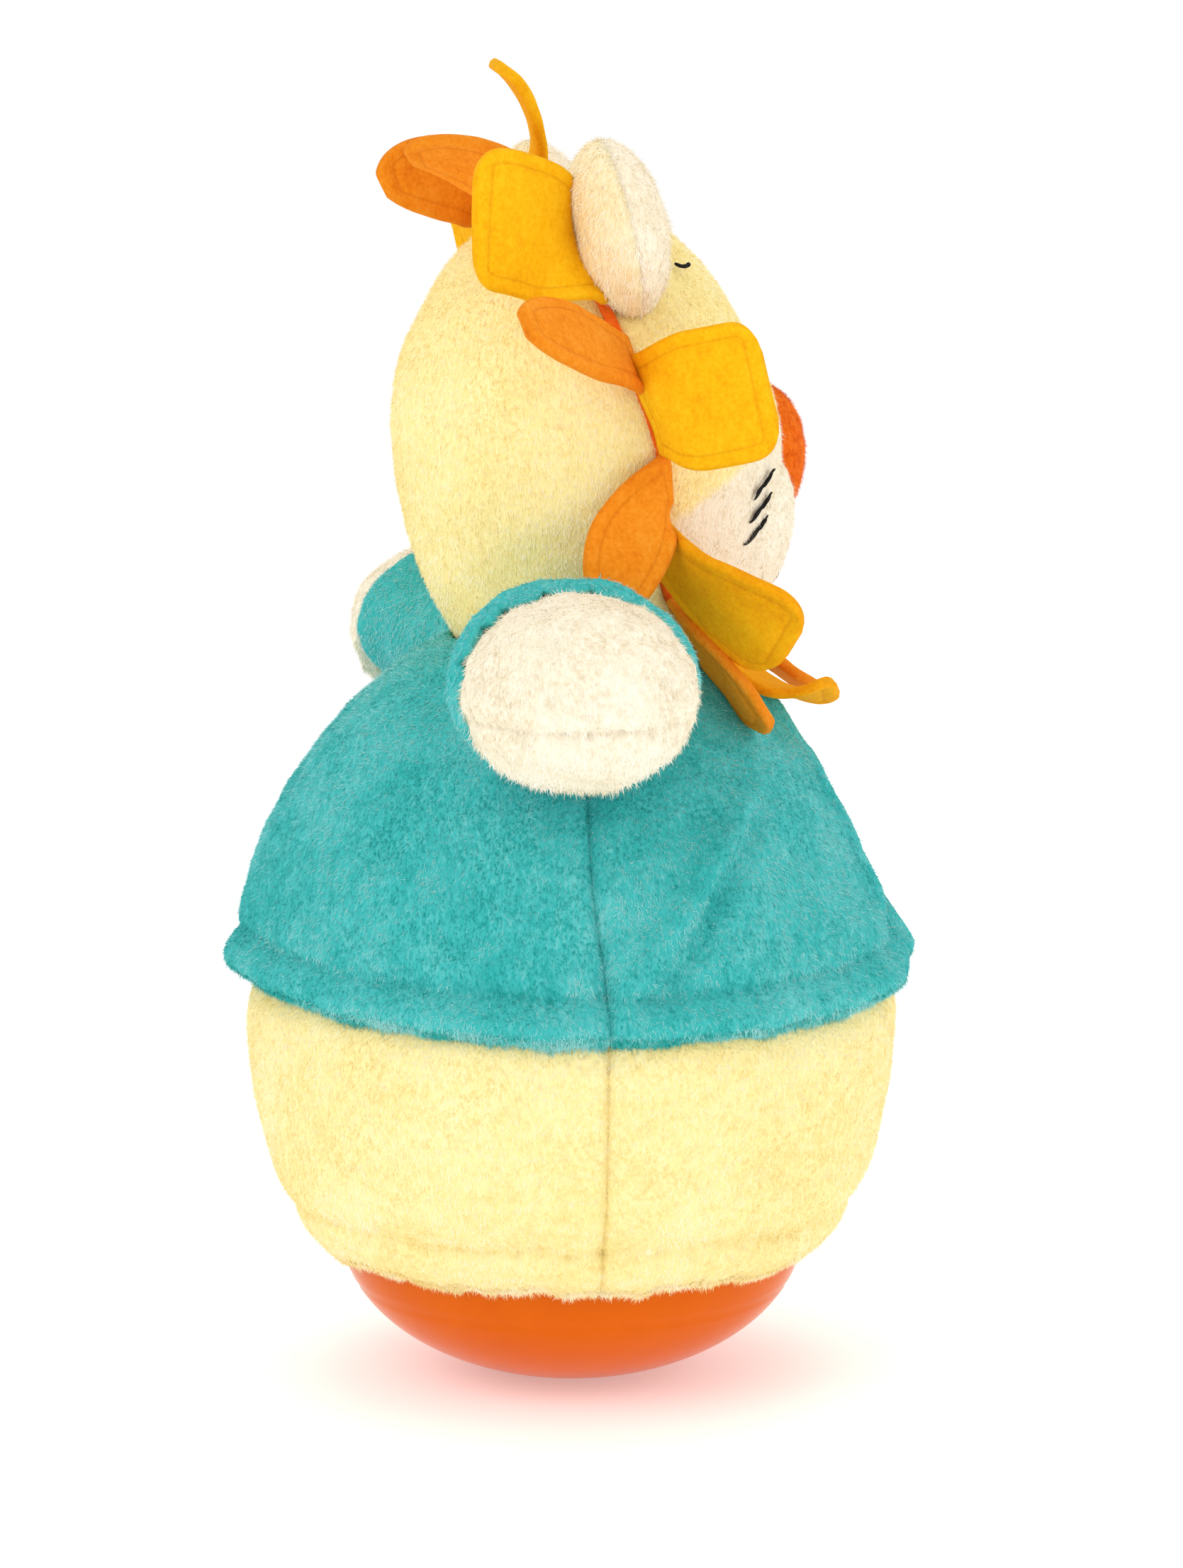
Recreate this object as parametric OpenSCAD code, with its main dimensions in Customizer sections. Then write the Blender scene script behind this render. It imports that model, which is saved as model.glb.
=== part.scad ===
// Roly poly toy: a plush lion on a weighted bowl, with a chime sealed in a capsule inside it.
// +Z is up, the face looks along -Y and the lion's left is +X.
// The origin is the middle of the small flat that the bowl rests on.

/* [Base bowl] */
// Radius of the bowl at its rim
bowl_r = 38; // [36:0.5:41]
// Depth of the bowl below its rim
bowl_depth = 24; // [22:0.5:27]
// Wall of the bowl and of the capsule dome
shell_t = 2.5; // [2:0.1:3]
// Radius of the small flat that the bowl rests on
foot_r = 5; // [4:0.5:7]
// Height of the collar between the rim and the flange
collar_h = 5.5; // [5:0.25:6.5]
// Inset of the collar from the rim
collar_step = 2.5; // [2.2:0.1:3]
// How far the flanges stand out past the collar
flange_out = 5.5; // [5.2:0.1:6]
// Thickness of each flange
flange_t = 2.5; // [2:0.25:3]
// Radius of the moulded line round the bowl
line_r = 0.45; // [0.3:0.05:0.8]

/* [Weight and screws] */
// Radius of the counterweight
weight_r = 28; // [24:0.5:29]
// Radius of the boss that the counterweight is screwed to
boss_r = 5; // [4.5:0.25:6]
// Height of that boss above the floor
boss_z = 7; // [6:0.25:8]
// Radius of the weight screw
weight_screw_r = 2; // [1.5:0.1:2.4]
// Radius of the dome screws
dome_screw_r = 1.3; // [1:0.1:1.5]
// Number of dome screws
dome_screws_n = 4; // [3:1:6]
// Radius of a screw's bore past the screw itself
bore_fit = 0.05; // [0.03:0.01:0.15]

/* [Chime] */
// Radius of the chime plate
plate_r = 22; // [20:0.5:24]
// Thickness of the chime plate
plate_t = 2; // [1.5:0.25:3]
// Radius of each chime rod
rod_r = 2; // [1.5:0.1:2.3]
// Length of the shortest rod above the plate
rod_len = 20; // [18:0.5:24]
// Step in length from one rod to the next
rod_step = 2.5; // [1:0.25:3]
// Radius of the clapper ball
ball_r = 6; // [5:0.25:7]
// Height of the ball's middle above the plate
ball_lift = 12; // [11:0.25:13]
// How far the ball swings sideways before it rings a rod
ball_swing = 7.2; // [6:0.1:7.5]
// Radius of the clapper's stem
stem_r = 1.2; // [1:0.05:1.4]
// Radius of the hanger's stud
stud_r = 2; // [1.6:0.1:2.2]
// Radius of the two pins that the clapper swings on
pin_r = 0.9; // [0.7:0.05:1]
// Play between a pin and the eye that turns on it
pin_play = 0.1; // [0.05:0.01:0.2]
// Distance between the two pins
link_len = 6; // [5.6:0.1:7]
// Half the thickness of a tongue between two cheeks
tongue_half = 2.1; // [2:0.05:2.4]
// Thickness of a cheek
cheek_t = 1.6; // [1.2:0.1:2]

/* [Body] */
// Radius of the plush body at its widest
body_r = 52.5; // [50:0.5:58]
// Height of the widest level above the bowl's rim
waist_rise = 33.5; // [32:0.5:36]
// Rise of the body from its widest level to its crown
body_rise = 68; // [64:0.5:76]
// Drop of the body's lower half, as if it ran on to a point under the bowl
body_low = 56; // [54:0.5:60]
// Thickness of the plush cover
cover_t = 2; // [1.5:0.1:2.4]
// How far the cover's lower edge hangs below the bowl's rim
hem_drop = 2; // [1:0.25:3]
// Thickness of the layer of stuffing under the cover
stuffing_t = 6; // [4:0.5:7]
// Radius of the elastic cord in the bottom casing
elastic_r = 1.3; // [1:0.1:1.6]
// Turn of the side seams behind the sides
seam_turn = 7; // [0:1:12]

/* [Waistcoat] */
// Thickness of the waistcoat's plush
vest_t = 1.8; // [1.4:0.1:2.2]
// Height of its hem above the body's widest level, at the back and the chest
hem_rise = 10; // [8:0.5:12]
// How far the hem dips at the side seams
hem_dip = 3.8; // [2:0.2:5]
// How far the hem stands out from the body
hem_flare = 0.8; // [0:0.1:1.2]
// Half angle of the opening at the chest
vest_open = 20; // [14:1:26]
// Radius of the rounded corners at the chest
vest_corner = 7; // [4:0.5:10]

/* [Arms] */
// Length of an arm past its shoulder
arm_len = 36; // [33:0.5:40]
// Radius of the sleeve at the shoulder
shoulder_r = 9.5; // [8.5:0.25:10]
// Radius of the sleeve at its cuff
cuff_r = 15.5; // [13:0.25:16]
// Radius of the paw
paw_r = 15.8; // [13:0.2:16.5]
// Thickness of the plush of the sleeves and paws
arm_t = 1.8; // [1.4:0.1:2.2]
// Sweep of the arms behind the sides
arm_sweep = 12; // [6:1:16]
// Rise of the arms from level
arm_pitch = 7; // [0:1:8]
// How far an arm turns down at its shoulder
arm_down = 10; // [4:1:10]
// How far an arm turns up at its shoulder
arm_up = 3; // [2:1:6]

/* [Head] */
// Radius of the head at its widest
head_r = 31.5; // [30:0.5:33]
// Rise of the head from its widest level to its crown
head_top = 37.5; // [35:0.5:40]
// Drop of the head from its widest level to its chin end
head_low = 45; // [44:0.5:47]
// Height of the head's widest level above the neck's turning point
head_lift = 18.5; // [18:0.25:20]
// Height of the neck's turning point above the body's crown
neck_rise = 10.7; // [10:0.25:13]
// How far the head sits forward of the body's axis
head_fore = 3; // [2:0.25:4]
// Thickness of the head's plush
head_t = 2; // [1.5:0.1:2.4]
// Radius of the muzzle
muzzle_r = 22; // [21:0.25:23]
// Radius of the nose pad
nose_r = 10.5; // [9:0.25:11.5]
// Radius of the embroidery thread bundles
thread_r = 0.55; // [0.4:0.05:0.7]

/* [Ears] */
// Radius of an ear's outline
ear_r = 14; // [13:0.2:14.6]
// Bulge of an ear's front panel
ear_front_h = 7.2; // [6:0.1:8]
// Bulge of an ear's back panel
ear_back_h = 4.6; // [4:0.1:5]
// Outward lean of the ears
ear_lean = 14; // [10:1:20]

/* [Mane] */
// Length of a felt petal
petal_len = 24.5; // [21:0.5:25]
// Width of a yellow petal at its widest
petal_w = 20; // [17:0.5:21]
// Width of an orange petal at its widest
leaf_w = 14.5; // [13:0.5:16]
// Width of a petal at its root
petal_root = 10.2; // [9:0.2:10.6]
// Thickness of the double felt
petal_t = 1.8; // [1.4:0.1:2]
// Tilt of the seam that the mane is sewn into
mane_tilt = 19.4; // [16:0.2:22]
// Width of the felt tape along that seam
tape_w = 2.4; // [2:0.2:4]
// Thickness of the felt tape
tape_t = 1; // [0.8:0.1:1.2]

/* [Fits] */
// Room between layers that are sewn or stuffed together
layer_gap = 0.2; // [0.15:0.01:0.25]
// Room between pieces that turn against each other
move_gap = 0.5; // [0.4:0.02:0.6]

/* [Hidden] */
$fn = 64;
petals_n = 18;

// Lengths that a cutter runs on past what it cuts
overrun = 1;
beyond = 200;

// Bowl and capsule
foot_angle = asin(foot_r / bowl_r);
rim_z = bowl_depth * cos(foot_angle);
bowl_in_r = bowl_r - shell_t;
bowl_in_depth = bowl_depth - shell_t;
collar_r = bowl_r - collar_step;
capsule_in_r = collar_r - shell_t;
flange_z = rim_z + collar_h;
dome_z = flange_z + flange_t;
flange_r = collar_r + flange_out;
line_share = 0.74;
line_z = rim_z * line_share;
spigot_h = 3;
spigot_t = 1.6;
spigot_r = capsule_in_r - layer_gap;

// Screws
screw_place_share = 0.56;
dome_screw_ring = collar_r + flange_out * screw_place_share;
screw_head_share = 1.7;
screw_head_h_share = 1.2;

// Weight and chime
pilot_z = shell_t + layer_gap;
weight_share = 0.67;
weight_z = rim_z * weight_share;
plate_z = weight_z + plate_t;
rod_ring = ball_swing + ball_r + rod_r + move_gap;
ball_z = plate_z + ball_lift;

// Hanger under the dome's crown
hang_drop = 4;
hang_t = 2;
hang_r = 6.5;
hang_boss_r = hang_r + layer_gap;
hang_z = dome_z + capsule_in_r - hang_drop;
crown_pad_r = 6;
crown_pad_z = dome_z + collar_r + layer_gap;
nut_h = 3.2;
nut_r = 2 * stud_r;
cheek_in = tongue_half + layer_gap;
cheek_out = cheek_in + cheek_t;
eye_r = tongue_half + layer_gap;
hang_reach = 4;
pin_z = hang_z - hang_t - hang_reach;
stem_pin_z = pin_z - link_len;

// Body
waist_z = rim_z + waist_rise;
crown_z = waist_z + body_rise;
hem_z = rim_z - hem_drop;
stuffing_low_z = dome_z + 2 * flange_t + dome_screw_r;
elastic_ring = collar_r + elastic_r + layer_gap;

// Waistcoat
vest_in = layer_gap;
vest_out = vest_in + vest_t;
vest_low_z = waist_z + hem_rise - hem_dip;
flare_share = 0.16;
flare_h = body_rise * flare_share;
chest = 270;

// Neck and head
neck_z = crown_z + neck_rise;
head_y = -head_fore;
head_z = neck_z + head_lift;
neck_seat_r = head_low - head_lift + move_gap;
head_stuffing_t = 6;
neck_hole_r = 10;

// Arms: the shoulder lies just under the waistcoat
shoulder_share = 0.85;
shoulder_z = waist_z + body_rise * shoulder_share;
shoulder_sink = 1.2;
shoulder_out = egg_r(shoulder_z - waist_z, body_r + vest_out, body_rise + vest_out) - shoulder_sink;
sleeve_share = 0.61;
sleeve_len = arm_len * sleeve_share;
flare_start_share = 0.45;
flare_end_share = 0.95;
armhole_share = 0.4;
armhole_len = arm_len * armhole_share;

// Face
muzzle_fore_share = 0.36;
muzzle_drop_share = 0.29;
nose_fore_share = 0.87;
nose_drop_share = 0.09;
muzzle_y = head_y - head_r * muzzle_fore_share;
muzzle_z = head_z - head_low * muzzle_drop_share;
nose_y = head_y - head_r * nose_fore_share;
nose_z = head_z - head_low * nose_drop_share;

// Mane: the seam leans back over the head, drops straight past the cheeks and comes forward under the chin
mane_fore_share = 0.1;
mane_fore = head_r * mane_fore_share;
chin_swing_share = 0.27;
chin_swing = head_r * chin_swing_share;
cheek_swing_share = 0.19;
cheek_swing = head_r * cheek_swing_share;
petal_step = 360 / petals_n;
root_gap = 0.35;
corner_share = 1.03;
root_lift = layer_gap + tape_t + root_gap;
petal_rows = 10;
petal_cols = 5;
tip_share = 0.97;
tab_share = 0.74;
leaf_share = 0.5;
settle_share = 0.4;

// Angles of each petal from the head's surface, at its root and at its tip, its sideways lean and its twist.
// Above 0 it folds forward over the face, below 0 back over the head.
petal_bend = [
    [30, -14, 0, 0], [-27, -51, -2, 11], [-66, -64, -21, 0],
    [-34, -55, -19, 13], [80, 134, 12, 0], [-58, -78, 21, -20],
    [37, 54, 22, 20], [-14, -3, 12, -1], [20, 34, -30, 1],
    [-4, 6, 28, 0], [22, 35, 26, 0], [-12, 1, -18, -6],
    [37, 57, -20, -11], [-44, -64, -12, 10], [78, 132, -12, 0],
    [-10, -22, 0, 0], [-40, -28, 23, 5], [-51, -66, 15, 1]
];

// Ears
ear_place_share = 0.78;
ear_rise_share = 0.855;
ear_fore_share = 0.05;
ear_x = head_r * ear_place_share;
ear_y = head_y + head_r * ear_fore_share;
ear_z = head_z + head_top * ear_rise_share;
ear_back_lean = 13;
ear_gap = 2 * move_gap;

// Radius of an egg's section at a height over its widest level, for heights above that level
function egg_r(rise, half_w, top) = half_w * sqrt(max(0, 1 - pow(rise / top, 2)));

// Points of an egg's half section from one angle to another, measured from its widest level
function egg_points(half_w, low, top, mid_z, from, to, steps) = [
    for (i = [0:steps])
        let (a = from + (to - from) * i / steps)
            [half_w * cos(a), mid_z + (a < 0 ? low : top) * sin(a)]
];

// Points of a circle's arc in a half section
function arc_points(r, mid_z, from, to, steps) = [
    for (i = [0:steps])
        let (a = from + (to - from) * i / steps)
            [r * cos(a), mid_z + r * sin(a)]
];

function unit(v) = v / norm(v);
function smooth(t) = t * t * (3 - 2 * t);
function clamp(t) = min(1, max(0, t));

// A petal's name: yellow and orange by turns, counted from the top down the lion's right side
function petal_name(i) = str("petal_", i % 2 == 0 ? "yellow_" : "orange_", floor(i / 2) + 1);

// Middle of the mane's seam for one turn angle, from the head's middle
function mane_middle(turn) =
    let (
        low = max(0, -cos(turn)),
        cheek = low > 0 ? cheek_swing * pow(sin(2 * turn), 2) : 0,
        swing = chin_swing * pow(low, 6) - cheek
    )
        [0, -mane_fore - swing * cos(mane_tilt), swing * sin(mane_tilt)];

// Point of the seam on the head's surface, from the head's middle: a ray meets the egg
function mane_point(turn) =
    let (
        o = mane_middle(turn),
        v = [-sin(turn), cos(turn) * sin(mane_tilt), cos(turn) * cos(mane_tilt)],
        w = head_r * head_r,
        h = v.z < 0 ? head_low * head_low : head_top * head_top,
        a = (v.x * v.x + v.y * v.y) / w + v.z * v.z / h,
        b = 2 * (o.y * v.y / w + o.z * v.z / h),
        c = o.y * o.y / w + o.z * o.z / h - 1
    )
        o + v * (sqrt(b * b - 4 * a * c) - b) / (2 * a);

// The head's outward direction at a point on it
function head_out(p) =
    let (h = p.z < 0 ? head_low : head_top)
        unit([p.x / pow(head_r, 2), p.y / pow(head_r, 2), p.z / pow(h, 2)]);

// Half width of a petal at a share of its length: it widens up to a share, then rounds off at the tip
function petal_half(s, wide, widest_share) =
    let (
        grow = petal_root + (wide - petal_root) * smooth(clamp(s / leaf_share)),
        tip = clamp((s - widest_share) / (1 - widest_share))
    )
        grow / 2 * sqrt(1 - pow(tip * tip_share, 2));

// Point of a petal: across from -1 to 1, s along its length from 0 to 1, side is -1 or 1.
// Its middle line is an arc; its width starts along the seam, then turns square to the lean and the twist.
function petal_point(i, across, s, side) =
    let (
        turn = i * petal_step,
        p = mane_point(turn),
        out = head_out(p),
        along = unit(mane_point(turn + 1) - mane_point(turn - 1)),
        fore = unit(cross(out, along)),
        bend = petal_bend[i],
        half_turn = (bend[1] - bend[0]) * s / 2,
        chord = abs(half_turn) < 0.01 ? 1 : sin(half_turn) / (half_turn * PI / 180),
        mid_angle = bend[0] + half_turn,
        end_angle = bend[0] + 2 * half_turn,
        lean = bend[2],
        settled = smooth(clamp(s / settle_share)),
        ahead = cos(end_angle) * out + sin(end_angle) * fore,
        face = cos(end_angle) * fore - sin(end_angle) * out,
        wide = cos(lean * settled) * along - sin(lean * settled) * ahead,
        twist = bend[3] * settled,
        reach = petal_len * s * chord * cos(lean),
        half = i % 2 == 0 ? petal_half(s, petal_w, tab_share) : petal_half(s, leaf_w, leaf_share)
    )
        p + out * (root_lift + abs(sin(bend[0])) * petal_t / 2)
        + reach * (cos(mid_angle) * out + sin(mid_angle) * fore)
        + along * petal_len * s * sin(lean)
        + (cos(twist) * wide + sin(twist) * face) * across * half
        + (cos(twist) * face - sin(twist) * wide) * side * petal_t / 2;

// Radius of an arm at a distance past the shoulder, drawn in by a layer's depth
function arm_r(t, depth) =
    let (grow = smooth(clamp((t / sleeve_len - flare_start_share) / (flare_end_share - flare_start_share))))
        shoulder_r + (cuff_r - shoulder_r) * grow - depth;

// Points of the sleeve's outline, from its round root to its cuff
function sleeve_points(depth) = concat(
    arc_points(shoulder_r - depth, 0, -90, 0, 10),
    [for (i = [1:12]) [arm_r(sleeve_len * i / 12, depth), sleeve_len * i / 12]]
);

// Points of the paw's outline, from its cuff to its round end
function paw_points(depth) =
    egg_points(paw_r - depth, paw_r, arm_len - sleeve_len - depth, sleeve_len, 0, 90, 12);

function reversed(list) = [for (i = [len(list) - 1:-1:0]) list[i]];

// Half section of the body drawn in by a depth, from a height up to the crown
function body_curve(depth, low_z) = egg_points(
    body_r - depth, body_low - depth, body_rise - depth, waist_z,
    asin((low_z - waist_z) / (body_low - depth)), 90, 40
);

// Half section of the cover drawn in by a depth: where the bowl is wider it hangs straight round the bowl
function cover_side(depth) =
    let (
        clear_r = bowl_r + move_gap + cover_t - depth,
        fall = acos(min(1, clear_r / (body_r - depth))),
        clear_z = waist_z - (body_low - depth) * sin(fall)
    )
        clear_z > hem_z
            ? concat([[clear_r, hem_z]], body_curve(depth, clear_z))
            : body_curve(depth, hem_z);

// Half section of the waistcoat grown by a depth, with its flared hem
function vest_side(grow) = [
    for (p = egg_points(body_r + grow, body_r, body_rise + grow, waist_z, 2, 90, 36))
        [p.x + hem_flare * pow(clamp(1 - (p.y - vest_low_z) / flare_h), 2), p.y]
];

// A wedge of a turned section, from one angle to another
module sector(from, to) {
    rotate([0, 0, from])
        rotate_extrude(angle = to - from)
            children();
}

// The head's egg, grown by a depth
module head_egg(grow) {
    translate([0, head_y, head_z])
        rotate_extrude()
            polygon(egg_points(head_r + grow, head_low + grow, head_top + grow, 0, -90, 90, 48));
}

// The mane's seam seen from the side, run on past both ends and moved to its rear by a distance
function seam_line(shift) =
    let (
        seam = [for (i = [0:36]) let (p = mane_point(5 * i)) [p.y, p.z]],
        over_top = beyond * [sin(mane_tilt), cos(mane_tilt)],
        chin_run = seam[36] - seam[35],
        past_chin = chin_run / norm(chin_run) * tape_w / 2,
        line = concat([seam[0] + over_top], seam, [seam[36] + past_chin]),
        last = len(line) - 1
    )
        [for (i = [0:last])
            let (run = line[min(i + 1, last)] - line[max(i - 1, 0)])
                line[i] + shift * [-run.y, run.x] / norm(run)];

// Space in front of the mane's seam, moved forward by a distance
module face_side(fore) {
    seam = [for (i = [0:36]) mane_point(5 * i)];
    top = seam[0];
    low = seam[len(seam) - 1];
    side_view = concat(
        [[top.y + beyond * sin(mane_tilt), top.z + beyond * cos(mane_tilt)]],
        [for (p = seam) [p.y, p.z]],
        [[low.y, low.z - beyond], [low.y - beyond, low.z - beyond], [top.y - beyond, top.z + beyond]]
    );
    translate([-beyond / 2, head_y - fore, head_z])
        rotate([90, 0, 90])
            linear_extrude(beyond)
                polygon(side_view);
}

// Room that the head turns in
module neck_room() {
    translate([0, head_y, neck_z])
        sphere(neck_seat_r);
}

// An arm's own frame: its shoulder is the origin and it runs along +Z
module at_shoulder(side, lift) {
    turn = side > 0 ? arm_sweep : 180 - arm_sweep;
    rotate([0, 0, turn])
        translate([shoulder_out, 0, shoulder_z])
            rotate([0, 90 - arm_pitch - lift, 0])
                children();
}

// Room that the arms turn in
module arm_room() {
    for (side = [-1, 1]) {
        for (lift = [-arm_down, 0, arm_up]) {
            at_shoulder(side, lift) {
                sphere(shoulder_r + move_gap);
                cylinder(r = shoulder_r + move_gap, h = armhole_len);
            }
        }
    }
}

module at_dome_screws() {
    for (i = [0:dome_screws_n - 1]) {
        rotate([0, 0, (i + 0.5) * 360 / dome_screws_n])
            translate([dome_screw_ring, 0, 0])
                children();
    }
}

module base_bowl() {
    shoulder = rim_z - shell_t;
    inner_from = acos(shell_t / bowl_in_depth);
    inner_to = asin(boss_r / bowl_in_r);
    outer = [
        for (i = [0:24])
            let (a = foot_angle + (90 - foot_angle) * i / 24)
                [bowl_r * sin(a), rim_z - bowl_depth * cos(a)]
    ];
    inner = [
        for (i = [0:24])
            let (a = inner_from + (inner_to - inner_from) * i / 24)
                [bowl_in_r * sin(a), rim_z - bowl_in_depth * cos(a)]
    ];
    bore_r = weight_screw_r + bore_fit;
    collar = [
        [collar_r, rim_z], [collar_r, flange_z], [flange_r, flange_z],
        [flange_r, dome_z], [capsule_in_r, dome_z], [capsule_in_r, shoulder]
    ];
    boss = [[boss_r, boss_z], [bore_r, boss_z], [bore_r, pilot_z], [0, pilot_z]];
    line_out = bowl_r * sqrt(1 - pow((rim_z - line_z) / bowl_depth, 2));
    color("darkorange")
        difference() {
            rotate_extrude()
                polygon(concat([[0, 0]], outer, collar, inner, boss));
            rotate_extrude()
                translate([line_out, line_z])
                    circle(line_r);
            at_dome_screws()
                translate([0, 0, flange_z - overrun])
                    cylinder(r = dome_screw_r + bore_fit, h = flange_t + 2 * overrun);
        }
}

module capsule_dome() {
    seat_z = dome_z + flange_t;
    hole_r = stud_r + bore_fit;
    spigot_in = spigot_r - spigot_t;
    outer = arc_points(collar_r, dome_z, asin(flange_t / collar_r), acos(crown_pad_r / collar_r), 28);
    inner_from = acos(hang_boss_r / capsule_in_r);
    inner_to = acos(spigot_in / capsule_in_r);
    inner = arc_points(capsule_in_r, dome_z, inner_from, inner_to, 28);
    crown = [
        [crown_pad_r, crown_pad_z], [hole_r, crown_pad_z],
        [hole_r, hang_z], [hang_boss_r, hang_z]
    ];
    spigot = [[spigot_in, dome_z - spigot_h], [spigot_r, dome_z - spigot_h], [spigot_r, dome_z]];
    color("whitesmoke")
        difference() {
            rotate_extrude()
                polygon(concat([[flange_r, dome_z], [flange_r, seat_z]], outer, crown, inner, spigot));
            at_dome_screws()
                translate([0, 0, dome_z - overrun])
                    cylinder(r = dome_screw_r + bore_fit, h = flange_t + 2 * overrun);
        }
}

// A pan head screw: its head sits on z = 0 and its shank runs down
module pan_screw(r, shank) {
    translate([0, 0, -shank])
        cylinder(r = r, h = shank);
    cylinder(r = r * screw_head_share, h = r * screw_head_h_share);
}

module dome_screws() {
    color("silver")
        at_dome_screws()
            translate([0, 0, dome_z + flange_t])
                pan_screw(dome_screw_r, 2 * flange_t);
}

module counterweight() {
    hole_r = weight_screw_r + bore_fit;
    pocket_r = boss_r + move_gap;
    low_r = bowl_in_r - move_gap;
    low_depth = bowl_in_depth - move_gap;
    from = asin(pocket_r / low_r);
    to = asin(weight_r / low_r);
    under = [
        for (i = [0:20])
            let (a = from + (to - from) * i / 20)
                [low_r * sin(a), rim_z - low_depth * cos(a)]
    ];
    top = [[weight_r, weight_z], [hole_r, weight_z], [hole_r, boss_z], [pocket_r, boss_z]];
    color("dimgray")
        rotate_extrude()
            polygon(concat(under, top));
}

module weight_screw() {
    color("silver")
        translate([0, 0, plate_z])
            pan_screw(weight_screw_r, plate_z - pilot_z - layer_gap);
}

module at_rods() {
    for (i = [0:3]) {
        $rod = i;
        rotate([0, 0, 90 * i])
            translate([rod_ring, 0, 0])
                children();
    }
}

module chime_plate() {
    color("gainsboro")
        translate([0, 0, weight_z])
            difference() {
                cylinder(r = plate_r, h = plate_t);
                translate([0, 0, -overrun])
                    cylinder(r = weight_screw_r + bore_fit, h = plate_t + 2 * overrun);
                at_rods()
                    translate([0, 0, -overrun])
                        cylinder(r = rod_r + bore_fit, h = plate_t + 2 * overrun);
            }
}

module chime_rods() {
    color("lightgray")
        at_rods()
            translate([0, 0, weight_z])
                cylinder(r = rod_r, h = plate_t + rod_len + rod_step * $rod);
}

// A pin along X through the origin
module cross_pin(r, half_len) {
    rotate([0, 90, 0])
        translate([0, 0, -half_len])
            cylinder(r = r, h = 2 * half_len);
}

module chime_hanger() {
    cheek_h = hang_z - hang_t - pin_z;
    color("ivory")
        difference() {
            union() {
                translate([0, 0, hang_z - hang_t])
                    cylinder(r = hang_r, h = hang_t);
                translate([0, 0, hang_z - hang_t])
                    cylinder(r = stud_r, h = crown_pad_z + nut_h + overrun - hang_z + hang_t);
                for (side = [-1, 1]) {
                    translate([side * (cheek_in + cheek_t / 2), 0, pin_z]) {
                        cross_pin(eye_r, cheek_t / 2);
                        translate([-cheek_t / 2, -eye_r, 0])
                            cube([cheek_t, 2 * eye_r, cheek_h]);
                    }
                }
            }
            translate([0, 0, pin_z])
                cross_pin(pin_r + bore_fit, cheek_out + overrun);
        }
}

module hanger_nut() {
    color("silver")
        translate([0, 0, crown_pad_z])
            difference() {
                cylinder(r = nut_r, h = nut_h, $fn = 6);
                translate([0, 0, -overrun])
                    cylinder(r = stud_r + bore_fit, h = nut_h + 2 * overrun);
            }
}

module hanger_pin() {
    color("silver")
        translate([0, 0, pin_z])
            cross_pin(pin_r, cheek_out + layer_gap);
}

module clapper_link() {
    bridge_low = tongue_half + 2 * layer_gap;
    bridge_top = link_len - pin_r - pin_play - layer_gap;
    color("ivory")
        difference() {
            union() {
                translate([0, 0, pin_z])
                    cross_pin(eye_r, tongue_half);
                translate([-tongue_half, -cheek_out, stem_pin_z + bridge_low])
                    cube([2 * tongue_half, 2 * cheek_out, bridge_top - bridge_low]);
                for (side = [-1, 1]) {
                    translate([0, side * (cheek_in + cheek_t / 2), stem_pin_z]) {
                        rotate([0, 0, 90])
                            cross_pin(tongue_half, cheek_t / 2);
                        translate([-tongue_half, -cheek_t / 2, 0])
                            cube([2 * tongue_half, cheek_t, bridge_top]);
                    }
                }
            }
            translate([0, 0, pin_z])
                cross_pin(pin_r + pin_play, tongue_half + overrun);
            translate([0, 0, stem_pin_z])
                rotate([0, 0, 90])
                    cross_pin(pin_r + bore_fit, cheek_out + overrun);
        }
}

module clapper_pin() {
    color("silver")
        translate([0, 0, stem_pin_z])
            rotate([0, 0, 90])
                cross_pin(pin_r, cheek_out + layer_gap);
}

module clapper_stem() {
    color("silver")
        difference() {
            union() {
                translate([0, 0, ball_z])
                    cylinder(r = stem_r, h = stem_pin_z - ball_z);
                translate([0, 0, stem_pin_z])
                    rotate([0, 0, 90])
                        cross_pin(tongue_half, tongue_half);
            }
            translate([0, 0, stem_pin_z])
                rotate([0, 0, 90])
                    cross_pin(pin_r + pin_play, tongue_half + overrun);
        }
}

module clapper_ball() {
    color("silver")
        translate([0, 0, ball_z])
            difference() {
                sphere(ball_r);
                cylinder(r = stem_r + bore_fit, h = ball_r + overrun);
            }
}

module hem_elastic() {
    color("white")
        rotate_extrude()
            translate([elastic_ring, rim_z + collar_h / 2])
                circle(elastic_r);
}

// The plush cover from one seam to the other
module cover(from, to) {
    difference() {
        sector(from, to)
            polygon(concat(cover_side(0), reversed(cover_side(cover_t))));
        neck_room();
        arm_room();
    }
}

module cover_front() {
    color("khaki")
        cover(180 - seam_turn, 360 + seam_turn);
}

module cover_back() {
    color("khaki")
        cover(seam_turn, 180 - seam_turn);
}

module body_stuffing() {
    outer = cover_t + layer_gap;
    inner = outer + stuffing_t;
    color("white")
        difference() {
            rotate_extrude()
                polygon(concat(
                    body_curve(outer, stuffing_low_z),
                    reversed(body_curve(inner, stuffing_low_z))
                ));
            neck_room();
            arm_room();
        }
}

// Space under the hem: it is lowest at the sides
module hem_cut() {
    top = waist_z + hem_rise;
    rotate([90, 0, 0])
        translate([0, 0, -beyond / 2])
            linear_extrude(beyond)
                polygon([
                    [-beyond, 0], [beyond, 0],
                    [body_r, top - hem_dip], [0, top], [-body_r, top - hem_dip]
                ]);
}

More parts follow.
